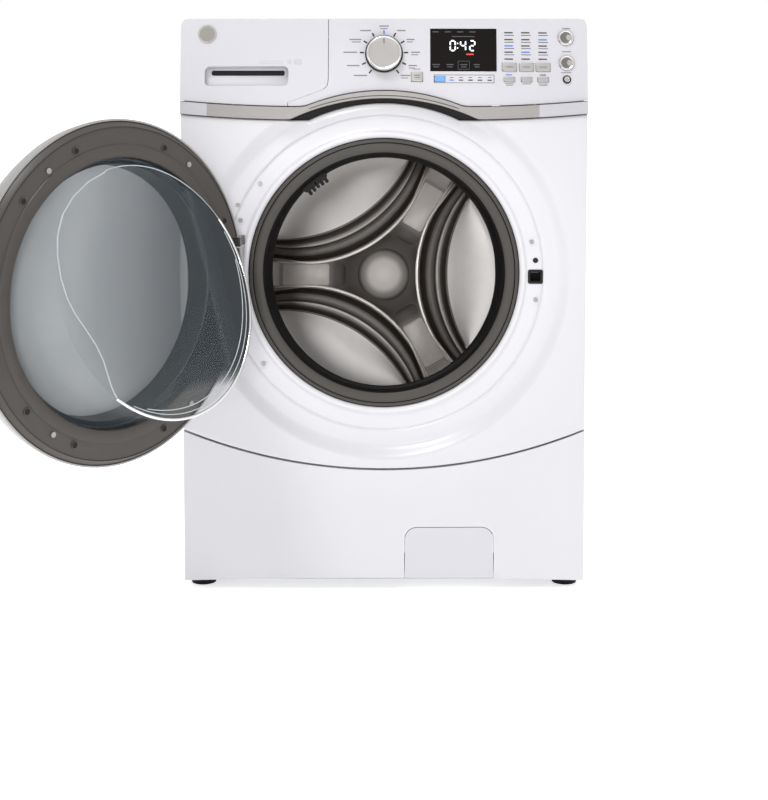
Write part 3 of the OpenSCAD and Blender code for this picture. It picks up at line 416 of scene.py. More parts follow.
def soften(obj, bevel):
    """Smooth shading for a CAD node, with a small round on its sharp edges."""
    first = obj.modifiers.new("tidy", "NODES")
    first.node_group = TIDY
    if bevel:
        rim = obj.modifiers.new("rim", "BEVEL")
        rim.width = bevel * MM
        rim.segments = 2
        rim.limit_method = "ANGLE"
        rim.angle_limit = math.radians(35)
        rim.use_clamp_overlap = True
        last = obj.modifiers.new("shade", "NODES")
        last.node_group = TIDY


def piece(name, verts, faces, mats, body, marks=None, angle=32, replaces=()):
    """A mesh piece that rides on body; marks gives each face's material."""
    mesh = bpy.data.meshes.new(name)
    mesh.from_pydata([tuple(v) for v in verts], [], faces)
    obj = bpy.data.objects.new(name, mesh)
    SCENE.collection.objects.link(obj)
    for m in mats if isinstance(mats, (list, tuple)) else [mats]:
        mesh.materials.append(m)
    if marks:
        for face, mark in zip(mesh.polygons, marks):
            face.material_index = mark
    work = bmesh.new()
    work.from_mesh(mesh)
    bmesh.ops.remove_doubles(work, verts=work.verts, dist=0.000004)
    bmesh.ops.recalc_face_normals(work, faces=work.faces)
    work.to_mesh(mesh)
    work.free()
    mesh.shade_smooth()
    mesh.set_sharp_from_angle(angle=math.radians(angle))
    if body:
        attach(obj, body)
    if replaces:
        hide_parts(*replaces)
    return obj


def ring_rows(rows, close_round=True):
    """Faces between rows of equal length, each row a closed loop."""
    n, faces = len(rows[0]), []
    verts = [p for row in rows for p in row]
    for i in range(len(rows) - 1):
        for j in range(n if close_round else n - 1):
            k = (j + 1) % n
            faces.append((i * n + j, i * n + k, (i + 1) * n + k, (i + 1) * n + j))
    return verts, faces


def lathe(place, profile, n=144):
    """Rows for a turned shape; place(x, up, along) puts a point in the world."""
    return [[place(r * math.cos(t), r * math.sin(t), s)
             for t in (2 * math.pi * j / n for j in range(n))] for r, s in profile]


def turned(name, place, profile, mats, body, marks=None, n=144, angle=32,
           replaces=()):
    verts, faces = ring_rows(lathe(place, profile, n))
    per_face = [m for m in marks for _ in range(n)] if marks else None
    return piece(name, verts, faces, mats, body, per_face, angle, replaces)


def rounded_outline(w, h, r, n=5):
    """Corner points of a rectangle with round corners, n steps to each corner."""
    pts = []
    for cx, cy, a0 in ((1, 1, 0), (-1, 1, 90), (-1, -1, 180), (1, -1, 270)):
        for i in range(n + 1):
            a = math.radians(a0 + 90 * i / n)
            pts.append((cx * (w / 2 - r) + r * math.cos(a), cy * (h / 2 - r) + r * math.sin(a)))
    return pts


def slabs(name, places, shapes, thick, mat, body, edge=0.25):
    """Several small raised plates as one piece. places maps (x, z, out) to the world;
    a shape is (x, z, width, height, corner) or (x, z, width, height, corner, turn)."""
    verts, faces = [], []
    for shape in shapes:
        x, z, w, h, r = shape[:5]
        turn = math.radians(shape[5]) if len(shape) > 5 else 0.0
        line = rounded_outline(w, h, min(r, w / 2, h / 2))
        c, s = math.cos(turn), math.sin(turn)
        e = min(edge, w / 4, h / 4)
        base = len(verts)
        for inset, out in ((0, -0.3), (0, thick - e * 0.6), (e, thick)):
            kx, kz = (w - 2 * inset) / w, (h - 2 * inset) / h
            for px, pz in line:
                qx, qz = px * kx, pz * kz
                verts.append(places(x + qx * c - qz * s, z + qx * s + qz * c, out))
        n = len(line)
        for row in range(2):
            for j in range(n):
                k = (j + 1) % n
                faces.append((base + row * n + j, base + row * n + k,
                              base + (row + 1) * n + k, base + (row + 1) * n + j))
        faces.append(tuple(base + 2 * n + j for j in range(n)))
    return piece(name, verts, faces, mat, body, angle=40)


def spokes(pts, i, sides):
    """Unit vectors all round a path at its point i."""
    along = (pts[min(len(pts) - 1, i + 1)] - pts[max(0, i - 1)]).normalized()
    side = along.cross(Vector((0.13, 1.0, 0.21))).normalized()
    lift = side.cross(along)
    turns = [2 * math.pi * j / sides for j in range(sides)]
    return [side * math.cos(t) + lift * math.sin(t) for t in turns]


def tubes(name, paths, r, mat, body, sides=8):
    """A round rod along each path, as one piece."""
    verts, faces = [], []
    for path in paths:
        rows = [[p + out * r * MM for out in spokes(path, i, sides)]
                for i, p in enumerate(path)]
        more, walls = ring_rows(rows)
        base, end = len(verts), len(verts) + len(more) - sides
        verts += more
        faces += [tuple(base + k for k in wall) for wall in walls]
        faces.append(tuple(base + j for j in range(sides)))
        faces.append(tuple(end + j for j in range(sides)))
    return piece(name, verts, faces, mat, body, angle=50)


# ------------------------------------------------------------------ front panel

def reach(angle):
    """How far the front panel's outline lies from the opening's centre."""
    c, s = math.cos(angle), math.sin(angle)

    def inside(r):
        x, z = r * c, DOOR_Z + r * s
        return abs(x) < HALF_W - 0.3 and seam(x) + 0.5 < z < panel_top(x)
    low, high = 262.0, 620.0
    for _ in range(30):
        mid = (low + high) / 2
        low, high = (mid, high) if inside(mid) else (low, mid)
    return low


DISH_R, SLOPE_R = 331, 305      # outer and inner radius of the dish's slope
OUTER = 14                      # rows of faces between the dish and the panel's edge


def dish_y(r, x):
    """Depth of the panel: dish floor, a groove, a low step, an S-shaped slope, bowed face."""
    skin = -MID_Y + bow_at(x)
    shelf = FLOOR_Y - 2.2
    if r >= DISH_R:
        return skin
    if r >= SLOPE_R:
        return shelf + (skin - shelf) * ease((r - SLOPE_R) / (DISH_R - SLOPE_R))
    groove = 2.4 * math.exp(-((r - 279.5) / 1.8) ** 2)
    return FLOOR_Y + groove + (shelf - FLOOR_Y) * ease((r - 275) / 8)


def in_latch(p):
    """Whether a point of the front panel lies over the latch's opening."""
    return abs(p.x / MM - LOCK_X) < 11 and abs(p.z / MM - LOCK_Z) < 9.5


def front_panel():
    corners = [math.atan2(z - DOOR_Z, x) for x in (-355, 355)
               for z in (seam(355) + 0.6, panel_top(355) - 0.1)]
    corners += [math.atan2(panel_top(131.9) - DOOR_Z, s * 131.9) for s in (1, -1)]
    angles = sorted({round(math.radians(a * 1.25), 6) for a in range(-144, 144)}
                    | {round(a, 6) for a in corners})
    lip = [(238.5, 13), (238.5, 1.5), (239.2, -0.6), (241, -2.2), (243.5, -3.6),
           (246.5, -4.2), (249, -3.6), (250.6, -1.6), (251.6, -0.4), (253, 0)]
    plain = [256, 264, 272, 275, 276.5, 278, 279.5, 281, 282.5, 284, 288, 300]
    plain += range(SLOPE_R, DISH_R + 2, 2)
    edges = ((1.4, 0.5), (0.4, 1.6), (0, 3.2), (0, 16))
    rows = [[] for _ in range(len(lip) + len(plain) + OUTER + len(edges))]
    for a in angles:
        c, s = math.cos(a), math.sin(a)
        edge = reach(a)
        top = edge - 3.0
        ring = [(r, FLOOR_Y + d) for r, d in lip]
        ring += [(min(r, top), None) for r in plain]
        ring += [(min(top, DISH_R) + max(0.0, top - DISH_R) * i / OUTER, None)
                 for i in range(1, OUTER + 1)]
        for row, (r, y) in zip(rows, ring):
            x = r * c
            row.append(front_point(x, DOOR_Z + r * s, dish_y(r, x) if y is None else y))
        for row, (back, drop) in zip(rows[-len(edges):], edges):
            r = edge - back
            x = r * c
            row.append(front_point(x, DOOR_Z + r * s, dish_y(top, x) + drop))
    verts, faces = ring_rows(rows)
    faces = [f for f in faces if not in_latch(sum((verts[i] for i in f), Vector()) / 4)]
    piece("front_skin", verts, faces, M["white_enamel"], "cabinet",
          angle=50, replaces=("front_panel",))


def latch_mouth():
    """A framed socket that the door's hook goes into, its catch, and the pin hole above."""
    flat = lambda px, pz, out: front_point(px, pz, FLOOR_Y - out)
    rows = []
    for w, h, r, out in ((26.6, 25.6, 4, -0.2), (26.6, 25.6, 4, 0.7), (25.8, 24.8, 3.6, 1),
                         (19, 18.4, 2.4, 1), (18, 17.4, 2, 0.4), (17.6, 17, 2, -10),
                         (17.4, 16.8, 2, -26)):
        rows.append([flat(LOCK_X + px, LOCK_Z + pz, out)
                     for px, pz in rounded_outline(w, h, r)])
    verts, faces = ring_rows(rows)
    faces.append(tuple(range(len(verts) - len(rows[0]), len(verts))))
    # the socket's deep walls and floor are near-black, a painted shadow
    marks = [0] * (4 * len(rows[0])) + [1] * (2 * len(rows[0]) + 1)
    piece("latch_socket", verts, faces, [M["black_plastic"], X["painted_shadow_and_black"]], "cabinet",
          marks, angle=40)
    deep = lambda px, pz, out: front_point(px, pz, FLOOR_Y + 9 - out)
    slabs("latch_catch", deep, [(LOCK_X, LOCK_Z + 6.9, 14, 2.2, 1)], 1.9, M["motor_black"],
          "cabinet")
    slabs("latch_pin_hole", flat, [(LOCK_X, LOCK_Z + 29, 9.5, 9.5, 4.7)], 0.9,
          M["black_plastic"], "cabinet")


def crescent():
    """A sheet in painted shadow in the hollow behind the arch, above the front panel's top
    edge.
    """
    rows = [[], [], []]
    for i in range(61):
        x = -172 + 344 * i / 60
        low = panel_top(x) - 8
        high = max(band_bottom(x) + 8, low + 6)
        for row, (z, y) in zip(rows, ((low, -374), (high, -376), (high, -362))):
            row.append(front_point(x, z, y))
    verts, faces = ring_rows(rows, close_round=False)
    piece("arch_shadow_sheet", verts, faces, X["painted_shadow_and_black"], "cabinet")


def band_lines():
    top, low, mid = [], [], []
    for i in range(121):
        x = -354 + 708 * i / 120
        y = -MID_Y + bow_at(x) - 3.1
        top.append(front_point(x, band_top(x) - 0.2, y))
        low.append(front_point(x, band_bottom(x) + 0.3, y))
        if abs(x) < 134:
            mid.append(front_point(x, band_bottom(x) + 5.2, y - 0.1))
    # dark rods draw the band's edge joints with the shadow in them; the rod on the arch's bevel
    # is painted shade
    tubes("band_edges", [top, low], 0.45, X["dark_line"], "cabinet", 6)
    tubes("band_bevel_shade", [mid], 0.6, X["dark_line"], "cabinet", 6)
    ends = [[front_point(x, z, -MID_Y + bow_at(x) - 3.05)
             for z in (band_bottom(x) + 0.5, band_top(x) - 0.5)] for x in (270, -308)]
    tubes("band_joints", ends, 0.25, M["silver_plastic"], "cabinet", 6)


# ------------------------------------------------------------------ gasket and tub mouth


def gasket():
    """Rolled front ring in grey, folded black bellows that lean back to the tilted tub."""
    front = [(249.5, -371), (249, -374), (247.8, -376), (245, -377), (240.5, -377.6),
             (237.6, -378.6), (236.6, -380.6), (235.4, -382.2), (233.4, -382.9),
             (231.6, -382.2), (230.6, -381.3), (229.6, -382.1), (227, -383.2),
             (221, -383.0), (216, -381.8), (213.4, -379.6)]
    back = [(212.0, -377.0), (211, -372), (209.4, -366), (209.6, -361), (211.6, -357),
            (212, -352), (208.6, -347), (204.8, -340), (202.0, -332), (200.0, -324),
            (200.2, -320), (203, -317.5), (213, -316.5), (219, -316), (222, -315)]
    profile = front + back
    marks = [1] * 5 + [0] * 4 + [1] * 2 + [0] * 4 + [1] * len(back)
    lean = math.tan(TILT)

    def place(x, up, y):
        t = ease((y + 366) / 48)
        wide = 1 + 0.029 * t * max(0.0, -up / 200)
        return front_point(x * wide, DOOR_Z + up * wide, y + up * lean * t)
    obj = turned("gasket", place, profile, [M["grey_rubber"], M["black_rubber"]], None,
                 marks, n=192, angle=60, replaces=("door_gasket",))
    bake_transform(obj)


def spray_nozzle():
    """Black nozzle housing clipped to the gasket's upper left."""
    c, s = math.cos(math.radians(128)), math.sin(math.radians(128))
    flat = lambda x, z, out: front_point(x, DOOR_Z + z, -325 - out)
    ribs = [((195 - 2 * abs(k)) * c + 9 * k * s, (195 - 2 * abs(k)) * s - 9 * k * c,
             6, 15 - 2 * abs(k), 3, 38) for k in (-2, -1, 0, 1, 2)]
    obj = slabs("spray_nozzle", flat, [(200 * c, 200 * s, 50, 13, 6, 38)] + ribs, 9,
                X["painted_shadow_and_black"], None, 2.5)
    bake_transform(obj)


# ------------------------------------------------------------------ drum

PLATE_R = 262.0
ARM_C, ARM_R = 335.7, 269.7         # circle that hollows out the arms' edges
LOBE_C, LOBE_R = 434.6, 300.6       # circle that a lobe's edge follows
# From the arm's edge to the lobe's: heights in mm, and places in drum_plate's paints of painted
# light and shade
FLANK_RELIEF = (18, 19, 18, 14.5, 12, 11, 10.6, 10.6, 10.4, 8.5, 8.6, 9, 8.6, 7.6, 5.4, 5.2)
FLANK_LIGHT_BANDS = (3, 4, 0, 0, 0, 1, 1, 1, 1, 0, 4, 1, 0, 0, 0, 4)
ARM_PAINT, LOBE_PAINT = 5, 2
ARM_ROWS, FLANK_ROWS, LOBE_ROWS = 12, len(FLANK_LIGHT_BANDS), 15      # rows of points


def across_flank(r, near):
    """0 at an arm's edge and 1 at the lobe's, for a point r from the hub."""
    x, y = r * math.cos(near), r * math.sin(near)
    inside = ARM_R - math.hypot(x - ARM_C, y)
    outside = math.hypot(x - LOBE_C, y) - LOBE_R
    if inside <= 0:
        return 0.0
    return 1.0 if outside <= 0 else inside / (inside + outside)


def flank_radius(t, near):
    """The radius at which across_flank comes to t."""
    low, high = 40.0, PLATE_R
    for _ in range(18):
        mid = (low + high) / 2
        low, high = (mid, high) if across_flank(mid, near) < t else (low, mid)
    return high


def flank_height(t):
    """Height of the flank's relief, read between the two nearest of its heights."""
    at = t * (len(FLANK_RELIEF) - 1)
    i = min(int(at), len(FLANK_RELIEF) - 2)
    return FLANK_RELIEF[i] + (FLANK_RELIEF[i + 1] - FLANK_RELIEF[i]) * (at - i)


def lobe_height(r, t):
    """Height of a lobe, t of the way from its edge to the plate's rim."""
    rim = max(0.0, (r - 225) / 37)
    return 5.2 - 3.4 * math.sin(math.pi * min(1, t * 1.1)) + 6 * rim * rim


def drum_plate():
    """Pressed back of the drum: three arms, three shallow lobes, glossy flanks with painted
    highlight and shade.
    """
    n = 432
    rows = [[] for _ in range(ARM_ROWS + FLANK_ROWS + LOBE_ROWS)]
    for j in range(n):
        a = 2 * math.pi * j / n
        near = min((a - math.radians(c) for c in (0, 120, 240, 360)), key=abs)
        r1, r2 = flank_radius(1e-6, near), flank_radius(0.999999, near)
        line = [(r1 * i / ARM_ROWS, 15 + 3 * (i / ARM_ROWS) ** 6) for i in range(ARM_ROWS)]
        for i in range(FLANK_ROWS):
            r = flank_radius(max(1e-6, i / FLANK_ROWS), near)
            line.append((r, flank_height(across_flank(r, near))
                         if across_flank(r, near) > 0 else 18))
        last = LOBE_ROWS - 1
        for i in range(LOBE_ROWS):
            r = r2 + (PLATE_R - r2) * i / last
            line.append((r, lobe_height(r, i / last) if r2 < PLATE_R - 0.01 else line[-1][1]))
        for row, (r, h) in zip(rows, line):
            row.append(tub_point(r * math.cos(a), r * math.sin(a), PLATE_S - h))
    verts, faces = ring_rows(rows)
    marks = [ARM_PAINT] * (ARM_ROWS * n) + [m for m in FLANK_LIGHT_BANDS for _ in range(n)]
    marks += [LOBE_PAINT] * ((LOBE_ROWS - 1) * n)
    # apart from the lobes' paint, all are drum steel with painted highlight and shade
    paints = [X[k] for k in ("drum_deep_painted_shade", "drum_painted_shade", "drum_lobe", "drum_painted_highlight",
                             "drum_flank_painted_sheen", "drum_arm_painted_light")]
    piece("drum_plate", verts, faces, paints, "drum", marks, angle=30,
          replaces=("drum_back",))


def arm_panels():
    """Pale pressed panels along the three arms, and the hub's low dome."""
    panels, wells = [], []
    for a in (60, 180, 300):
        c, s = math.cos(math.radians(a)), math.sin(math.radians(a))
        panels.append((164 * c, 164 * s, 98, 48, 7, a))
        wells.append((148 * c, 148 * s, 134, 57, 16, a))
    at = lambda base: (lambda x, z, out: tub_point(x, z, PLATE_S - base - out))
    slabs("arm_wells", at(15), wells, 1.6, X["drum_arm_painted_light"], "drum", 1.4)
    slabs("arm_panels", at(15), panels, 2.8, X["drum_mid"], "drum", 2.2)
    at_hub = lambda x, up, h: tub_point(x, up, PLATE_S - h)
    dome = [(56, 14.6), (52, 16.6), (47, 18.2), (40, 19.6), (30, 20.8), (16, 21.6),
            (0.01, 21.9)]
    turned("hub_dome", at_hub, dome, X["drum_arm_painted_light"], "drum", n=72)


# ------------------------------------------------------------------ springs and hoses

def springs():
    coils, turns, steps = [], 7, 140
    for sx in (-1, 1):
        for y in (-190, 90):
            line = []
            for i in range(steps + 1):
                t = i / steps
                a = 2 * math.pi * turns * t
                line.append(front_point(sx * 328 + 10 * math.cos(a), 868 - 200 * t,
                                        y + 10 * math.sin(a)))
            coils.append(line)
    obj = tubes("springs", coils, 2.0, M["spring_steel"], None)
    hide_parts("suspension_springs")
    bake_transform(obj)


def hose(name, knots, r):
    """A ribbed hose through knots, from the cabinet at its start to the tub at its end."""
    pts = []
    for a, b in zip(knots, knots[1:]):
        a, b = Vector(a) * MM, Vector(b) * MM
        n = max(2, 2 * round((b - a).length / 0.006))
        pts += [a.lerp(b, i / n) for i in range(n)]
    rows = [[p + out * ((r - 1.8 * (i % 2)) * MM) for out in spokes(pts, i, 32)]
            for i, p in enumerate(pts)]
    verts, faces = ring_rows(rows)
    obj = piece(name, verts, faces, M["grey_rubber"], None, angle=60,
                replaces=("bellows_hoses",))
    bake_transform(obj)


def hoses():
    hose("dispenser_hose", [(-150, -200, 879), (-150, -200, 800)], 20)
    hose("sump_hose", [(54, -300, 92), (14, -300, 92), (4, -300, 94), (0, -299, 100),
                       (0, -297, 112), (0, -277, 231)], 16)


# ------------------------------------------------------------------ door

def around(r, v, start, end, n=160):
    """Points round the door's axis, between two angles in degrees."""
    return [door_point(r * math.cos(t), DOOR_Z + r * math.sin(t), v)
            for t in (math.radians(start + (end - start) * i / n) for i in range(n + 1))]


BOWL_DEPTH, BOWL_R = 118, 214
BOWL_SLANT = math.tan(math.radians(19))     # of its end
BOWL_TAPER = 34 / 173                       # of its cone


def bowl_end(x, z):
    """A point just in front of the bowl's slanting end."""
    return door_point(x, DOOR_Z + z, BOWL_DEPTH - BOWL_SLANT * z + 0.4)


def bowl_rim(angle):
    """Radius and depth at which the bowl's cone meets its slanting end, just inside."""
    r = 190.0
    for _ in range(12):
        v = BOWL_DEPTH - BOWL_SLANT * r * math.sin(angle)
        r = BOWL_R - BOWL_TAPER * (v - 8) - 0.6
    return r, v


def bowl_edge(start, end, n=120):
    """Points along the bowl's rim, between two angles in degrees."""
    line = []
    for i in range(n + 1):
        t = math.radians(start + (end - start) * i / n)
        r, v = bowl_rim(t)
        r += 0.12
        line.append(door_point(r * math.cos(t), DOOR_Z + r * math.sin(t), v - 0.6))
    return line


def bowl_ring(share, start, end, n=90):
    """Points on the slanting end at a share of the rim's radius, nearer it at both ends."""
    line = []
    for i in range(n + 1):
        t = math.radians(start + (end - start) * i / n)
        r = bowl_rim(t)[0] * (share + (1 - share) * abs(2 * i / n - 1) ** 3 / 2)
        line.append(bowl_end(r * math.cos(t), r * math.sin(t)))
    return line


def door_details():
    tubes("ring_lines", [around(266.5, 28.6, -166, 166)], 0.7, X["dark_line"], "door",
          6)
    step = [(218.6, 28.5), (218.8, 31.0), (220.2, 31.8), (236.5, 31.6), (238.6, 31.0),
            (239.6, 29.6)]
    rows = [around(r, v, -164, 164, 180) for r, v in step]
    verts, faces = ring_rows(rows, close_round=False)
    piece("ring_step", verts, faces, M["warm_grey_plastic"], "door")
    holes = []
    for a in (40, 69, 112, 156, -40, -66, -110):
        t = math.radians(a)
        holes.append((248 * math.cos(t), 248 * math.sin(t)))
    for i, (x, z) in enumerate(holes):
        spot = lambda px, up, v, x=x, z=z: door_point(x + px, DOOR_Z + z + up, v)
        # each hole's floor is near-black, a painted shadow
        turned("ring_hole_%d" % i, spot, [(0.01, 29.4), (4.2, 29.6), (4.7, 30.4), (5.4, 30.8),
                                          (6.1, 30.5), (6.4, 29.4)],
               [X["painted_shadow_and_black"], M["warm_grey_plastic"]], "door",
               [0, 0, 1, 1, 1], n=24)
    place = lambda x, up, v: door_point(x, DOOR_Z + up, v)
    turned("door_well", place, [(217.4, 27), (216.6, 14.5), (213, 13.4), (207, 6),
                                (204.4, -20), (204.2, -37)],
           X["door_navy"], "door")
    tubes("bowl_rim_bright", [bowl_edge(146, 314)], 2.4, M["chrome"], "door")
    tubes("bowl_rim_soft", [bowl_edge(76, 150)], 0.9, X["rim_grey"], "door")
    tubes("bowl_glints", [bowl_ring(0.95, 152, 304), bowl_ring(0.9, 166, 296)], 0.8,
          X["rim_grey"], "door")
    scoop = ((49, 198), (88, 184), (122, 164), (149, 139), (167, 110), (176, 80), (179, 48),
             (176, 20), (168, -4), (155, -28), (143, -52), (136, -76), (134, -98),
             (132, -116), (127, -131))
    tubes("bowl_scoop", [[bowl_end(x, z) for x, z in scoop]], 1.3, X["rim_grey"], "door")


# ------------------------------------------------------------------ console

def knob():
    place = lambda x, up, h: on_console(x, KNOB_Z + up * math.cos(LEAN), h)
    cap = [(31, 4.6), (31, 7), (30.6, 12), (30, 14.6), (29, 16), (27.6, 16.6), (26.4, 16.2),
           (25.6, 15.2), (24, 14.8), (12, 15.3), (0.01, 15.5)]
    marks = [1, 1, 1, 1, 1, 1, 0, 0, 0, 0]
    turned("knob_top", place, cap, [M["silver_plastic"], M["chrome"]], "knob",
           marks, n=96, replaces=("knob_cap",))
    slabs("knob_pointer", on_console, [(0, KNOB_Z + 20, 2.2, 9, 1)], 16.1, X["ink"],
          "knob")


def dial_marks():
    ticks, words = [], []
    for i, a in enumerate((0, 29, -29, 57, -57, 86, -86, 115, -115, 142, -142)):
        t = math.radians(90 - a)
        c, s = math.cos(t), math.sin(t)
        ticks.append((38.6 * c, KNOB_Z + 38.6 * s, 7.5, 2.5, 0.8, 90 - a))
        wide = (17, 15, 19, 14, 21, 16, 24, 15, 22, 17, 24)[i]
        side = 0 if a == 0 else (1 if a > 0 else -1)
        x = 47 * c + side * wide / 2
        z = KNOB_Z + 47 * s + (2 if a == 0 else 0)
        words.append((x, z, wide, 2.1, 0.6))
        if i in (0, 3, 4, 5, 7, 9):
            words.append((x + side * -1.5, z - 4.4, wide * 0.75, 1.6, 0.5))
    slabs("dial_start", on_console, ticks[:1], 0.35, X["led_blue"], "cabinet",
          0.1)
    slabs("dial_ticks", on_console, ticks[1:], 0.35, X["dark_line"], "cabinet",
          0.1)
    slabs("dial_bars", on_console, words, 0.2, X["ink"], "cabinet", 0.1)


def seven(x, z, w, h, digit):
    """The lit segments of one digit, as slab shapes."""
    on = {"0": "abcdef", "4": "bcfg", "2": "abdeg"}[digit]
    t, q = 2.2, h / 4
    where = {"a": (0, h / 2, w - 3, t), "g": (0, 0, w - 3, t), "d": (0, -h / 2, w - 3, t),
             "b": (w / 2, q, t, h / 2 - 2), "c": (w / 2, -q, t, h / 2 - 2),
             "f": (-w / 2, q, t, h / 2 - 2), "e": (-w / 2, -q, t, h / 2 - 2)}
    return [(x + where[k][0], z + where[k][1], where[k][2], where[k][3], 0.8) for k in on]


def display():
    glassy = lambda x, z, out: on_console(x, z, out - 0.3)
    digits = seven(120, 965, 8.6, 17, "0") + seven(138, 965, 8.6, 17, "4")
    digits += seven(154, 965, 8.6, 17, "2")
    digits += [(128.5, 961, 2, 2, 0.5), (128.5, 969, 2, 2, 0.5)]
    slabs("time_digits", glassy, digits, 0.5, X["digit"], "cabinet", 0.1)
    slabs("red_mark", glassy, [(150, 950, 13, 2.2, 0.6)], 0.5, X["red_mark"], "cabinet",
          0.1)
    faint = [(90 + 21.5 * i, 989, 11, 1.8, 0.5) for i in range(5)]
    faint += [(138.5, 981, 40, 1.5, 0.5)]
    faint += [(91 + 24 * i, 932, 13, 1.8, 0.5) for i in range(5)]
    faint += [(91 + 24 * i, 928, 10, 1.5, 0.5) for i in range(5)]
    slabs("display_rows", glassy, faint, 0.45, X["led_off"], "cabinet", 0.1)
    box = [(139, 938, 20, 0.8, 0.3), (139, 924, 20, 0.8, 0.3), (129.2, 931, 0.8, 14, 0.3),
           (148.8, 931, 0.8, 14, 0.3)]
    slabs("display_box", glassy, box, 0.45, X["led_off"], "cabinet", 0.05)


def leds():
    frame_line = [(139.5, 914, 105, 0.9, 0.3), (139.5, 900.4, 105, 0.9, 0.3),
                  (87.2, 907.2, 0.9, 14, 0.3), (191.8, 907.2, 0.9, 14, 0.3)]
    slabs("strip_frame", on_console, frame_line, 0.2, X["led_off"], "cabinet",
          0.05)
    off, on = [], []
    for i, x in enumerate((117.5, 134, 150.5, 167, 184)):
        (off if i else on).append((x, 905, 8, 2, 0.6))
        off.append((x, 909.6, 6, 1, 0.4))
    rows = (988, 976, 965, 954, 942)
    lit_row = {0: 2, 1: 3, 2: 1}
    for c, x in enumerate((217.5, 247, 277)):
        for k, z in enumerate(rows):
            (on if lit_row[c] == k else off).append((x, z, 15, 2.3, 0.7))
            if k < 4:
                off.append((x + 1, z - 4.6, 17, 1.1, 0.4))
    on.append((217.5, 914.6, 11, 1.6, 0.5))
    off.append((277, 914.6, 11, 1.6, 0.5))
    slabs("leds_off", on_console, off, 0.3, X["led_off"], "cabinet", 0.1)
    slabs("leds_on", on_console, on, 0.35, X["led_blue"], "cabinet", 0.1)
    notes = [(319, 996, 14, 1.6, 0.5), (319, 955.5, 16, 1.6, 0.5), (318, 919, 18, 1.3, 0.5),
             (218.5, 899, 15, 1.3, 0.4), (248.5, 899, 15, 1.3, 0.4), (277.5, 899, 17, 1.3, 0.4),
             (218.5, 896.4, 12, 1.1, 0.4), (277.5, 896.4, 14, 1.1, 0.4),
             (57.5, 924, 12, 1.3, 0.4)]
    slabs("console_notes", on_console, notes, 0.2, X["ink"], "cabinet", 0.05)


def button_faces():
    """Turned or pressed caps on the buttons, each moving with its own button."""
    for body, x, z, r in (("power", 318, 980, 13.7), ("start", 319, 936, 13.4)):
        place = lambda px, up, h, x=x, z=z: on_console(x + px, z + up * math.cos(LEAN), h)
        turned(body + "_face", place, [(r, 1.8), (r, 2.2), (r - 0.8, 3.0), (r - 2.4, 3.1),
                                       (r - 3.4, 2.4), (r * 0.4, 2.1), (0.01, 2.0)],
               [M["chrome"], X["button_steel"]], body,
               [0, 0, 0, 0, 1, 1], n=64)
        slabs(body + "_mark", on_console, [(x, z, 1.4, 6, 0.6)], 2.6, X["ink"], body,
              0.1)
    place = lambda px, up, h: on_console(319 + px, 907 + up * math.cos(LEAN), h)
    turned("add_garment_face", place, [(7, 1.8), (7, 2.3), (6, 3.0), (4.6, 2.7), (4.0, 2.2),
                                       (0.01, 2.1)],
           [M["black_plastic"], M["chrome"], M["silver_plastic"]], "add_garment",
           [0, 0, 0, 1, 2], n=40)
    for body, x, w in (("soil", 218.5, 25), ("temperature", 248.5, 25), ("spin", 277.5, 25)):
        slabs(body + "_face", on_console, [(x, 928, w, 14, 2.5)], 2.2,
              M["silver_plastic"], body, 0.7)
        slabs(body + "_bar", on_console, [(x, 928, 12, 1.6, 0.5)], 2.35, X["ink"], body,
              0.05)
    for body, x in (("delay", 218.5), ("steam", 248.5), ("rinse", 277.5)):
        slabs(body + "_face", on_console, [(x, 906.5, 19, 8, 2)], 2.0,
              M["silver_plastic"], body, 0.6)
    slabs("prewash_face", on_console, [(57.5, 910.5, 20, 16, 2.5)], 2.1,
          M["silver_plastic"], "prewash", 0.7)
    slabs("prewash_bar", on_console, [(57.5, 913, 11, 1.5, 0.5), (57.5, 909, 9, 1.3, 0.5)],
          2.25, X["ink"], "prewash", 0.05)


def drawer_marks():
    disc = lambda px, up, h: on_console(-309 + px, 986 + up * math.cos(LEAN), h)
    turned("blank_badge", disc, [(16, -0.2), (16, 1.3), (15.2, 2.0), (14, 2.0), (13.2, 1.4),
                                 (0.01, 1.4)],
           [M["silver_plastic"], X["badge_grey"]], "drawer",
           [0, 0, 0, 0, 1], n=64)
    inner = lambda x, z, out: (on_console(-239.7, z, out - 16)
                               + Vector(((x + 239.7) * MM, 0, 0)))
    slabs("grip_floor", inner, [(-239.7, 912.5, 145, 33, 9)], 0.6, X["slot_grey"],
          "drawer", 0.5)
    slabs("grip_shadow", inner, [(-238, 920.5, 128, 9, 3.5)], 0.9, X["painted_shadow_and_black"],
          "drawer", 0.3)
    notes = [(-197, 938, 42, 1.3, 0.4), (-197, 934.4, 42, 1.2, 0.4), (-165, 937, 7, 7, 2),
             (-150, 937, 14, 10, 3)]
    slabs("drawer_notes", on_console, notes, 0.2, X["faint_ink"], "drawer",
          0.05)


# ------------------------------------------------------------------ CAD nodes that stay

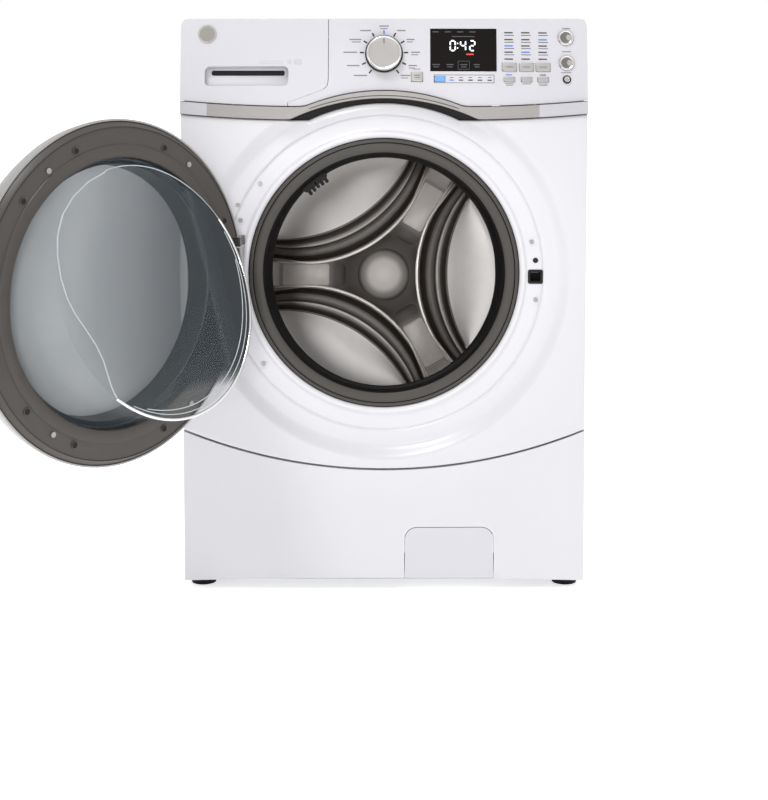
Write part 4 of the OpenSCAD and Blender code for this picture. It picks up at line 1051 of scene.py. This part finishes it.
# Width in mm of the round on a node's sharp edges, and nodes with a look of their own
SOFT = {
    "cabinet_shell": 1.5, "top_panel": 2.0, "rear_panel": 0.5, "base_frame": 0.6,
    "leveling_feet": 0.8, "lower_panel": 1.6, "console_fascia": 1.4, "trim_band": 0.8,
    "display_window": 0.6, "drawer_front": 1.2, "service_flap": 1.2, "door_ring": 1.0,
    "door_shell": 1.0, "door_hook": 0.8, "hinge_bracket": 1.0, "hinge_leaf": 0.8,
    "knob_skirt": 0.6, "door_lock": 0.5, "panel_screws": 0.4, "door_screws": 0.4,
    "boost_button": 0.8, "tub_front": 0.8, "tub_rear": 0.8, "door_glass": 1.2,
    "inlet_valves": 0.6, "cord_gland": 0.6,
}
PAINT = {"door_shell": X["door_silver"], "drum_baffles": X["drum_lobe"],
         "panel_screws": X["screw_metal"], "door_screws": X["screw_metal"],
         "hinge_bracket": X["hinge_steel"]}


def dress_cad():
    slots = {s["node"]: s["material_slot"] for s in frame["record"]["subparts"]}
    for node, obj in frame["nodes"].items():
        obj.data.materials.clear()
        obj.data.materials.append(PAINT.get(node) or M[slots[node]])
        soften(obj, SOFT.get(node, 0.0))


# ------------------------------------------------------------------ room, light, camera

def room():
    mesh = bpy.data.meshes.new("floor")
    size = 60
    mesh.from_pydata([(-size, -size, 0), (size, -size, 0), (size, size, 0), (-size, size, 0)],
                     [], [(0, 1, 2, 3)])
    floor = bpy.data.objects.new("floor", mesh)
    SCENE.collection.objects.link(floor)
    white = surface("floor_white", (247, 247, 248), 0.8, grain=20, vary=0.01, bump=0.0)
    fill(white, shader_of(white), Emission_Color=(1, 1, 1, 1), Emission_Strength=0.6)
    mesh.materials.append(white)


def pale_world():
    """A white room that is a little darker in front of the machine than behind it."""
    world = SCENE.world or bpy.data.worlds.new("room")
    SCENE.world = world
    world.use_nodes = True
    way = add(world, "TexCoord").outputs["Generated"]
    toward = add(world, "VectorMath", "DOT_PRODUCT", (way, (0.1, 0.85, 0.3)))
    span = add(world, "MapRange", Value=toward.outputs["Value"], From_Min=-0.9,
               From_Max=0.35, To_Min=0.68, To_Max=1.0)
    span.interpolation_type = "SMOOTHSTEP"
    fill(world, world.node_tree.nodes["Background"], Color=(1.0, 1.0, 1.0, 1),
         Strength=span.outputs["Result"])


def put_light(light, at, aim):
    obj = bpy.data.objects.new(light.name, light)
    SCENE.collection.objects.link(obj)
    obj.location = at
    obj.rotation_euler = (Vector(aim) - Vector(at)).to_track_quat("-Z", "Y").to_euler()


def lights():
    """A soft key from above on the left, and a weak spot into the drum."""
    key = bpy.data.lights.new("key", "AREA")
    key.shape = "RECTANGLE"
    key.size, key.size_y = 1.3, 1.3
    key.energy = 115
    put_light(key, (-1.2, -2.6, 5.0), (0, -0.3, 0.5))
    spot = bpy.data.lights.new("drum_spot", "SPOT")
    spot.energy = 145
    spot.spot_size = math.radians(11)
    spot.spot_blend = 0.5
    spot.shadow_soft_size = 0.25
    put_light(spot, (-0.22, -2.9, 0.98), (0, 0, 0.53))


def camera():
    """A long lens in front of the machine, a little above its middle and looking down."""
    data = bpy.data.cameras.new("camera")
    cam = bpy.data.objects.new("camera", data)
    SCENE.collection.objects.link(cam)
    data.sensor_width = 36
    data.lens = 1561 * data.sensor_width / 800      # 1561 pixels on a side of 800
    data.shift_y = -0.25
    cam.location = (0, -3.113, 0.910)
    cam.rotation_euler = (math.radians(90 - 4.5), 0, 0)
    SCENE.camera = cam
    SCENE.view_settings.view_transform = "Standard"


camera()
lights()
room()
pale_world()
dress_cad()
front_panel()
latch_mouth()
crescent()
band_lines()
gasket()
spray_nozzle()
drum_plate()
arm_panels()
springs()
hoses()
door_details()
knob()
dial_marks()
display()
leds()
button_faces()
drawer_marks()
